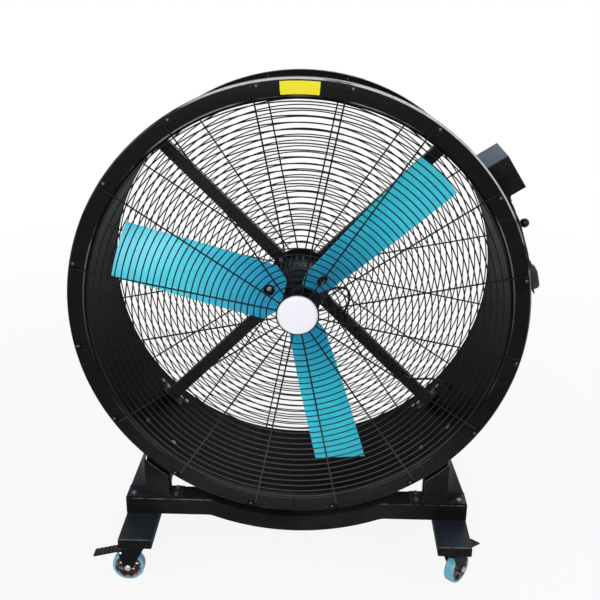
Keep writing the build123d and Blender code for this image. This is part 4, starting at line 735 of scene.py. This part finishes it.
def coil_frame():
    """Middle of the coil's first layer, and its directions to the rear, up around the drum and outwards."""
    sizes = wound()
    out = Vector((cos(sizes.coil_angle), 0.0, sin(sizes.coil_angle)))
    up = Vector((-sin(sizes.coil_angle), 0.0, cos(sizes.coil_angle)))
    middle = Vector((0, drum().front_edge + sizes.coil_depth, drum().axis_height)) + out * sizes.coil_radius
    return middle, Vector((0, 1, 0)), up, out


def in_coil(rear, up, lift):
    """Point in the coil's own directions."""
    middle, to_rear, upwards, out = coil_frame()
    return middle + to_rear * rear + upwards * up + out * lift


def coil_ends():
    """Ends of the coil's half turns, as reach to the rear and lift above the first layer."""
    sizes = wound()
    reach, side, lift, inward = sizes.coil_reach, -1, 0.0, True
    ends = [(side * reach, lift)]
    for layer in range(sizes.layers):
        last = layer == sizes.layers - 1
        for _ in range(sizes.half_turns + (1 if last else 0)):
            reach += -sizes.pitch / 2 if inward else sizes.pitch / 2
            side = -side
            ends.append((side * reach, lift))
        inward = not inward
        if not last:
            lift += sizes.pitch
            side = -side
            ends.append((side * reach, lift))
    return ends


def coil_turns():
    """Points of the coil, half turn by half turn, first down at the front and through the bottom."""
    sizes = wound()
    ends = coil_ends()
    points = [in_coil(ends[0][0], 0.0, 0.0)]
    way = -1
    for (first, low), (second, high) in zip(ends, ends[1:]):
        middle, radius = (first + second) / 2, abs(second - first) / 2
        last = second == ends[-1][0] and high == ends[-1][1]
        sweep = pi - (sizes.early if last else 0.0)
        grown = radius / cos(sweep / sizes.points / 2) ** 0.5
        for number in range(1, sizes.points + 1):
            along = number / sizes.points
            if last and number == sizes.points:
                grown = radius
            turned = sweep * along
            rear = middle - (grown if first < second else -grown) * cos(turned)
            points.append(in_coil(rear, way * grown * sin(turned), low + (high - low) * along))
        way = -way
    return points


class FAN_OT_mains_cord(Operator):
    """Mains cord from its gland through the hung coil to the plug"""
    bl_idname = "fan.mains_cord"
    bl_label = "Mains cord"

    def execute(self, context):
        sizes = wound()
        points = [Vector(point) for point in LEAD_IN] + coil_turns() + [in_coil(*point) for point in TAIL]
        data = bpy.data.curves.new("mains_cord_whole", "CURVE")
        data.dimensions = "3D"
        data.bevel_depth = sizes.diameter / 2
        data.bevel_resolution = 4
        data.resolution_u = 3
        data.use_fill_caps = True
        spline = data.splines.new("NURBS")
        spline.points.add(len(points) - 1)
        for control, point in zip(spline.points, points):
            control.co = (*point, 1.0)
        spline.order_u = 3
        spline.use_endpoint_u = True
        cord = new_object("mains_cord_whole", data)
        data.materials.append(finish_for("cord_rubber"))
        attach(cord, "base")
        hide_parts("mains_cord", "cord_coil", "plug_cord")
        plug = make_plug(in_coil(*TAIL[-1]))
        return {"FINISHED"}


def make_plug(start):
    """Grey plug with a ribbed strain relief, ribbed grip and two round pins."""
    radius = wound().plug_radius
    body_end = 0.0900
    pin_side, pin_radius, tip_radius = 0.0095, 0.0024, 0.0014
    pin_sunk, pin_length, pin_taper = 0.0010, 0.0175, 0.0020
    _, to_rear, up, _ = coil_frame()
    down = -up
    mesh = bmesh.new()
    profile = [(0.0, 0.0), (0.0, 0.0062), (0.004, 0.0075)]
    for number in range(3):
        at = 0.006 + number * 0.0036
        rib = 0.0084 + number * 0.0007
        profile += [(at, 0.0064), (at + 0.0010, rib), (at + 0.0026, rib)]
    profile += [(0.0180, 0.0088), (0.0186, 0.0152), (0.0230, 0.0176), (0.0380, radius - 0.0012)]
    valley = radius - 0.0018
    for number in range(5):
        at = 0.0405 + number * 0.0074
        profile += [(at, valley), (at + 0.0012, radius), (at + 0.0048, radius), (at + 0.0060, valley)]
    profile += [(0.0800, radius - 0.0004), (0.0870, radius - 0.0010), (body_end, radius - 0.0035),
                (body_end, 0.0)]
    lathe(mesh, profile, start, down, 40)
    for side in (-pin_side, pin_side):
        foot = start + down * (body_end - pin_sunk) + to_rear * side
        shoulder = foot + down * pin_length
        bar(mesh, foot, shoulder, pin_radius, 16)
        bar(mesh, shoulder, shoulder + down * pin_taper, pin_radius, 16, tip_radius)
    plug = piece(mesh, "mains_plug_body", "plug_grey", smooth=40.0)
    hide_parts("mains_plug")
    return plug


# ---- pieces
def make_guard(name, middle_y, out, reach):
    """Guard of round wire: rings welded on the outer side of the spokes, and the centre plate."""
    sizes = guard()
    axis_z = drum().axis_height
    mesh = bmesh.new()
    gap = (sizes.outer_radius - sizes.inner_radius) / (sizes.rings - 1)
    welded = 0.42
    ring_y = middle_y + out * (sizes.ring_wire + sizes.spoke_wire) * welded
    small_rings = 10
    for number in range(sizes.rings):
        radius = sizes.inner_radius + number * gap
        hoop(mesh, (0, ring_y, axis_z), radius, sizes.ring_wire, 96 if number < small_rings else 160)
    for angle in spoke_angles():
        bar(mesh, face_point(angle, sizes.hub_radius * 0.5, middle_y), face_point(angle, reach, middle_y),
            sizes.spoke_wire / 2)
    rim = sizes.hub_radius
    plate_y = middle_y + out * sizes.spoke_wire / 2
    round_off = 0.001
    profile = [(0.0, 0.0), (0.0, rim - round_off), (round_off, rim), (sizes.plate - round_off, rim),
               (sizes.plate, rim - round_off), (sizes.plate, 0.0)]
    lathe(mesh, profile, (0, plate_y, axis_z), (0, out, 0), 64)
    return piece(mesh, name, "black_paint", finish="wire_coat", smooth=50.0)


class FAN_OT_guards(Operator):
    """Front and rear wire guards"""
    bl_idname = "fan.guards"
    bl_label = "Wire guards"

    def execute(self, context):
        sizes = guard()
        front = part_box("front_guard")
        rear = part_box("rear_guard")
        near = make_guard("front_wire_guard", front[1].y - sizes.spoke_wire / 2, -1, sizes.front_reach)
        far = make_guard("rear_wire_guard", rear[0].y + sizes.spoke_wire / 2, 1, sizes.rear_reach)
        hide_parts("front_guard")
        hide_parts("rear_guard")
        return {"FINISHED"}


class FAN_OT_cap(Operator):
    """Bare white cap with a stepped, domed face"""
    bl_idname = "fan.cap"
    bl_label = "Guard cap"

    def execute(self, context):
        sizes = guard()
        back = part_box("guard_cap")[1].y
        radius, deep = sizes.cap_radius, sizes.cap_depth
        profile = [(0.0, 0.0), (0.0, radius), (deep * 0.35, radius), (deep * 0.55, radius - 0.0008),
                   (deep * 0.72, radius - 0.0028), (deep * 0.84, radius - 0.0062),
                   (deep * 0.89, radius - 0.010), (deep * 0.87, radius - 0.0115),
                   (deep * 0.90, radius - 0.0130), (deep * 0.96, radius * 0.5),
                   (deep * 0.995, radius * 0.2), (deep, 0.0)]
        mesh = bmesh.new()
        lathe(mesh, profile, (0, back, drum().axis_height), (0, -1, 0), 96)
        made = piece(mesh, "white_cap", "cap_white", smooth=60.0)
        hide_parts("guard_cap")
        return {"FINISHED"}


class FAN_OT_front_lip(Operator):
    """Front lip with its rolled outer edge, collar and the grooves under the spoke ends"""
    bl_idname = "fan.front_lip"
    bl_label = "Front lip"

    def execute(self, context):
        sizes = drum()
        crown, sheet, outer, roll = sizes.lip_crown, sizes.sheet, sizes.lip_radius, sizes.roll
        back = sizes.collar_start + sizes.collar_length
        wall, face = sizes.wall_radius, sizes.face_radius
        profile = [(sizes.bend_back, wall), (sizes.bend_back * 0.53, wall + (face - wall) * 0.36),
                   (sizes.bend_back * 0.08, wall + (face - wall) * 0.72), (-crown * 0.85, face - 0.0005),
                   (-crown, face + 0.002)]
        profile += rolled_corner(roll, 8)
        profile += [(sizes.rim_return, outer), (sizes.rim_return, outer - sheet)]
        profile += reversed(rolled_corner(roll - sheet, 6))
        profile += [(-crown + sheet, face + 0.003), (0.006, sizes.collar_radius),
                    (back, sizes.collar_radius), (back, sizes.collar_radius - sheet),
                    (sizes.collar_start, sizes.collar_radius - sheet), (sizes.collar_start, wall)]
        mesh = bmesh.new()
        centre = (0, sizes.front_edge, sizes.axis_height)
        lathe(mesh, profile, centre, (0, 1, 0), 256, across=(1, 0, 0), closed=True)
        lip = piece(mesh, "rolled_front_lip", "black_paint", finish="lip_paint", smooth=32.0)
        cut_grooves(lip)
        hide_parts("front_ring")
        make_lip_seam()
        return {"FINISHED"}


def rolled_corner(radius, steps):
    """Quarter turn of the lip's rolled edge at a radius, from the flat face to the rim."""
    sizes = drum()
    turns = [pi / 2 * number / steps for number in range(steps + 1)]
    return [(sizes.roll - sizes.lip_crown - radius * cos(turned),
             sizes.lip_radius - sizes.roll + radius * sin(turned)) for turned in turns]


def cut_grooves(lip):
    """Grooves in the lip's flat face under the spoke ends."""
    sizes = drum()
    mesh = bmesh.new()
    for angle in spoke_angles():
        spot = face_point(angle, sizes.notch_radius, sizes.front_edge - sizes.lip_crown)
        turned = Matrix.Rotation(-angle, 4, "Y")
        size = Matrix.Diagonal((sizes.notch_length, 2 * sizes.notch_depth, sizes.notch_width, 1.0))
        bmesh.ops.create_cube(mesh, size=1.0, matrix=Matrix.Translation(spot) @ turned @ size)
    cutter = mesh_object("groove_cutter", mesh)
    cut = lip.modifiers.new("grooves", "BOOLEAN")
    cut.operation = "DIFFERENCE"
    cut.solver = "EXACT"
    cut.object = cutter
    bpy.context.view_layer.update()
    applied = bpy.data.meshes.new_from_object(lip.evaluated_get(bpy.context.evaluated_depsgraph_get()))
    lip.modifiers.clear()
    lip.data = applied
    bpy.data.objects.remove(cutter)


def make_lip_seam():
    """Welded and ground seam of the lip at its bottom."""
    sizes = drum()
    mesh = bmesh.new()
    past_bend, sunk = 0.004, 0.0001
    y = sizes.front_edge - sizes.lip_crown + sunk
    start = face_point(sizes.seam_angle, sizes.face_radius - past_bend, y)
    end = face_point(sizes.seam_angle, sizes.lip_radius - sizes.roll, y)
    bar(mesh, start, end, sizes.seam_bead)
    piece(mesh, "lip_seam", "black_paint")


class FAN_OT_yellow_patch(Operator):
    """Bare yellow patch at the top of the lip"""
    bl_idname = "fan.yellow_patch"
    bl_label = "Yellow patch"

    def execute(self, context):
        sizes = drum()
        mesh = bmesh.new()
        gap, corner, steps = 0.0001, 0.0015, 14
        y = sizes.front_edge - sizes.lip_crown - gap
        low, high = sizes.face_radius + sizes.patch_inset, sizes.lip_radius - sizes.roll - corner
        first, last = sizes.patch_left, sizes.patch_right
        turns = [first + (last - first) * number / steps for number in range(steps + 1)]
        rows = [[mesh.verts.new(face_point(angle, radius, y)) for angle in turns] for radius in (low, high)]
        for number in range(steps):
            inner, outer = (row[number:number + 2] for row in rows)
            mesh.faces.new((*inner, *reversed(outer)))
        corners = [row[end] for row in rows for end in (0, -1)]
        bmesh.ops.bevel(mesh, geom=corners, offset=corner, offset_type="OFFSET", affect="VERTICES",
                        segments=3, profile=0.5, material=-1)
        bmesh.ops.recalc_face_normals(mesh, faces=mesh.faces)
        lifted = bmesh.ops.extrude_face_region(mesh, geom=list(mesh.faces))["geom"]
        moved = [part for part in lifted if isinstance(part, bmesh.types.BMVert)]
        bmesh.ops.translate(mesh, verts=moved, vec=(0, -sizes.patch_film, 0))
        piece(mesh, "yellow_patch", "cap_white", finish="yellow_film")
        return {"FINISHED"}


class FAN_OT_screws(Operator):
    """Domed zinc screws in the clips of both guards"""
    bl_idname = "fan.screws"
    bl_label = "Clip screws"

    def execute(self, context):
        sizes = guard()
        low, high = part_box("guard_screws")
        mesh = bmesh.new()
        for y, out, radius in ((low.y, -1, sizes.front_screws), (high.y, 1, sizes.rear_screws)):
            for angle in spoke_angles():
                seat = face_point(angle, radius, y - out * sizes.screw_height, -sizes.screw_offset)
                add_screw(mesh, seat, out)
        made = piece(mesh, "clip_screws", "zinc_plate", finish="screw_zinc", smooth=40.0)
        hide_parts("guard_screws")
        return {"FINISHED"}


def add_screw(mesh, seat, out):
    """One domed head with a recess in its middle, and its shank."""
    sizes = guard()
    radius, high = sizes.screw_radius, sizes.screw_height
    shank, shank_end = 0.0024, -0.0065
    profile = [(shank_end, 0.0), (shank_end, shank), (0.0, shank), (0.0, radius), (high * 0.3, radius),
               (high * 0.7, radius * 0.82), (high * 0.96, radius * 0.52), (high * 0.98, radius * 0.40),
               (high * 0.5, radius * 0.34), (high * 0.45, 0.0)]
    lathe(mesh, profile, seat, (0, out, 0), 12)


# Profiles of bolt ends: distance past the widest point of the fork, which is its top disc, and radius
WASHER = ((-0.0062, 0.0), (-0.0062, 0.0104), (-0.0048, 0.0104), (-0.0048, 0.0))
DOMED_NUT = ((-0.0052, 0.0), (-0.0052, 0.0086), (-0.0012, 0.0086), (-0.0002, 0.0074), (0.0001, 0.0050),
             (0.0002, 0.0))
PIN_END = ((-0.0062, 0.0), (-0.0062, 0.0048), (-0.0036, 0.0046), (-0.0024, 0.0030), (-0.0020, 0.0))

# By kind of joint: name of the pair, and each profile with its number of sides
BOLT_ENDS = {
    "wheel_roll": ("axle", ((WASHER, 32), (DOMED_NUT, 6))),
    "brake_pedal": ("pin", ((PIN_END, 24),)),
}


class FAN_OT_caster_bolts(Operator):
    """Washers and domed nuts at the axles' ends, and riveted ends of the pedal pins"""
    bl_idname = "fan.caster_bolts"
    bl_label = "Caster bolts"

    def execute(self, context):
        low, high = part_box("caster_fork_fl")
        widest = (high.y - low.y) / 2
        for joint in frame["record"]["behaviour"]["joints"]:
            kind, _, caster = joint["name"].rpartition("_")
            if kind not in BOLT_ENDS:
                continue
            label, turned_parts = BOLT_ENDS[kind]
            mesh = bmesh.new()
            middle, way = Vector(joint["pos_m"]), Vector(joint["axis"]).normalized()
            for side in (-1, 1):
                for outline, sides in turned_parts:
                    profile = [(widest + past, radius) for past, radius in outline]
                    lathe(mesh, profile, middle, way * side, sides)
            piece(mesh, f"{label}_ends_{caster}", "zinc_plate", body=f"fork_{caster}", finish="axle_zinc",
                  smooth=30.0)
        return {"FINISHED"}


# ---- carried-over nodes
# Start of a node's name, and the finish it has instead of its slot's
OWN_FINISH = {
    "drum_shell": "drum_paint",
    "motor_arm": "arm_paint",
    "arm_brackets": "arm_paint",
    "left_leg": "leg_paint",
    "right_leg": "leg_paint",
    "front_beam": "beam_paint",
    "rear_beam": "beam_paint",
    "left_supports": "support_paint",
    "right_supports": "support_paint",
    "control_box": "box_paint",
    "cord_hook": "hook_gloss",
    "rotor_bolts": "bright_zinc",
}


def finish_name(node, slot):
    """Finish of a node: its own one where it has one, else that of its slot."""
    return next((name for start, name in OWN_FINISH.items() if node.startswith(start)), slot)


class FAN_OT_finishes(Operator):
    """Finish of every carried-over node, from its slot in the record"""
    bl_idname = "fan.finishes"
    bl_label = "Finishes"

    def execute(self, context):
        slots = {part["node"]: part["material_slot"] for part in frame["record"]["subparts"]}
        for name, carried in frame["nodes"].items():
            finish = finish_for(finish_name(name, slots[name]))
            if not carried.material_slots:
                carried.data.materials.append(finish)
            for holder in carried.material_slots:
                holder.material = finish
        return {"FINISHED"}


# ---- stage
def soft_lamp(name, place, aim, size, power):
    """Square soft lamp that points at a spot."""
    data = bpy.data.lights.new(name, "AREA")
    data.size = size
    data.energy = power
    made = new_object(name, data)
    way = Vector(aim) - Vector(place)
    made.matrix_world = Matrix.Translation(Vector(place)) @ way.to_track_quat("-Z", "Y").to_matrix().to_4x4()
    return made


def floor_finish():
    """Pale matt floor that keeps the object's shadow and fades to plain white further off."""
    board = Board("pale_floor")
    far = board.add("ShaderNodeVectorMath", {"operation": "LENGTH"}, {0: board.here()}).out("Value")
    speck = board.noise(60.0, 3.0)
    tone = board.mix(speck * 0.10, looks().floor, (0.78, 0.78, 0.80))
    board.finish(Base_Color=tone, Roughness=0.75 + speck * 0.1)
    plain = board.add("ShaderNodeEmission", None, {"Color": (1.0, 1.0, 1.0), "Strength": 1.0})
    seen = board.add("ShaderNodeLightPath")
    white_near = 0.88
    share = board.step(far, 1.2, 4.5) * (1.0 - white_near) + white_near
    joined = board.add("ShaderNodeMixShader", None, {
        0: seen.out("Is Camera Ray") * share, 1: Wire(board, board.surface.outputs[0]), 2: plain})
    board.tree.links.new(joined.socket, board.tree.nodes["Material Output"].inputs["Surface"])
    return board.owner


def light_world():
    """White surroundings: plain light on the object, pure white where the camera, gloss or glass see them."""
    board = Board("white_room", "worlds", "Background")
    seen = board.add("ShaderNodeLightPath")
    clear = seen.maths("MAXIMUM", seen.out("Is Glossy Ray"), seen.out("Is Transmission Ray"))
    plain = seen.maths("MAXIMUM", seen.out("Is Camera Ray"), clear)
    room_light = 0.30
    strength = board.add("ShaderNodeMapRange", None, {"Value": plain, "To Min": room_light, "To Max": 1.0})
    bpy.context.scene.world = board.finish(Color=(1.0, 1.0, 1.0), Strength=strength)


class FAN_OT_stage(Operator):
    """Pale floor, white surroundings and soft lamps"""
    bl_idname = "fan.stage"
    bl_label = "Stage"

    def execute(self, context):
        mesh = bmesh.new()
        bmesh.ops.create_circle(mesh, cap_ends=True, segments=96, radius=14.0)
        floor = mesh_object("pale_floor", mesh)
        floor.data.materials.append(floor_finish())
        lamps = [
            soft_lamp("lamp_front", (-0.5, -4.6, 2.3), (0.0, 0.0, 0.9), 2.2, 130.0),
            soft_lamp("lamp_high", (-0.6, -1.6, 4.2), (0.0, 0.0, 0.8), 2.6, 16.0),
            soft_lamp("lamp_left", (-3.4, -2.6, 2.2), (0.0, 0.0, 0.8), 2.0, 16.0),
            soft_lamp("lamp_right", (3.2, -2.0, 2.8), (0.0, 0.0, 0.9), 1.6, 16.0),
            soft_lamp("lamp_rear", (1.2, 3.4, 2.8), (0.0, 0.0, 0.9), 2.4, 45.0),
        ]
        light_world()
        context.scene.view_settings.view_transform = "Standard"
        return {"FINISHED"}


# ---- panel and registration
OPERATORS = (
    FAN_OT_camera,
    FAN_OT_mains_cord,
    FAN_OT_guards,
    FAN_OT_cap,
    FAN_OT_front_lip,
    FAN_OT_yellow_patch,
    FAN_OT_screws,
    FAN_OT_caster_bolts,
    FAN_OT_finishes,
    FAN_OT_stage,
)
SETTINGS = (
    (DrumSizes, "fan_drum"),
    (GuardSizes, "fan_guard"),
    (CordSizes, "fan_cord"),
    (LookColours, "fan_looks"),
    (ViewSizes, "fan_view"),
)


class FAN_PT_sidebar(Panel):
    """Sidebar panel with the fan's settings and operators"""
    bl_idname = "FAN_PT_sidebar"
    bl_label = "Drum Fan"
    bl_space_type = "VIEW_3D"
    bl_region_type = "UI"
    bl_category = "Drum Fan"

    def draw(self, context):
        for group, name in SETTINGS:
            box = self.layout.box()
            box.label(text=group.__name__)
            for prop in group.__annotations__:
                box.prop(getattr(context.scene, name), prop)
        for operator in OPERATORS:
            self.layout.operator(operator.bl_idname)


def register():
    """Register the settings, operators and panel."""
    for group, name in SETTINGS:
        bpy.utils.register_class(group)
        setattr(bpy.types.Scene, name, PointerProperty(type=group))
    for operator in (*OPERATORS, FAN_PT_sidebar):
        bpy.utils.register_class(operator)


def unregister():
    """Take everything out again."""
    for operator in reversed((*OPERATORS, FAN_PT_sidebar)):
        bpy.utils.unregister_class(operator)
    for group, name in reversed(SETTINGS):
        delattr(bpy.types.Scene, name)
        bpy.utils.unregister_class(group)


def main():
    """Dress the fan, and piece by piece."""
    register()
    for operator in OPERATORS:
        group, name = operator.bl_idname.split(".")
        getattr(getattr(bpy.ops, group), name)()


if __name__ == "__main__":
    main()
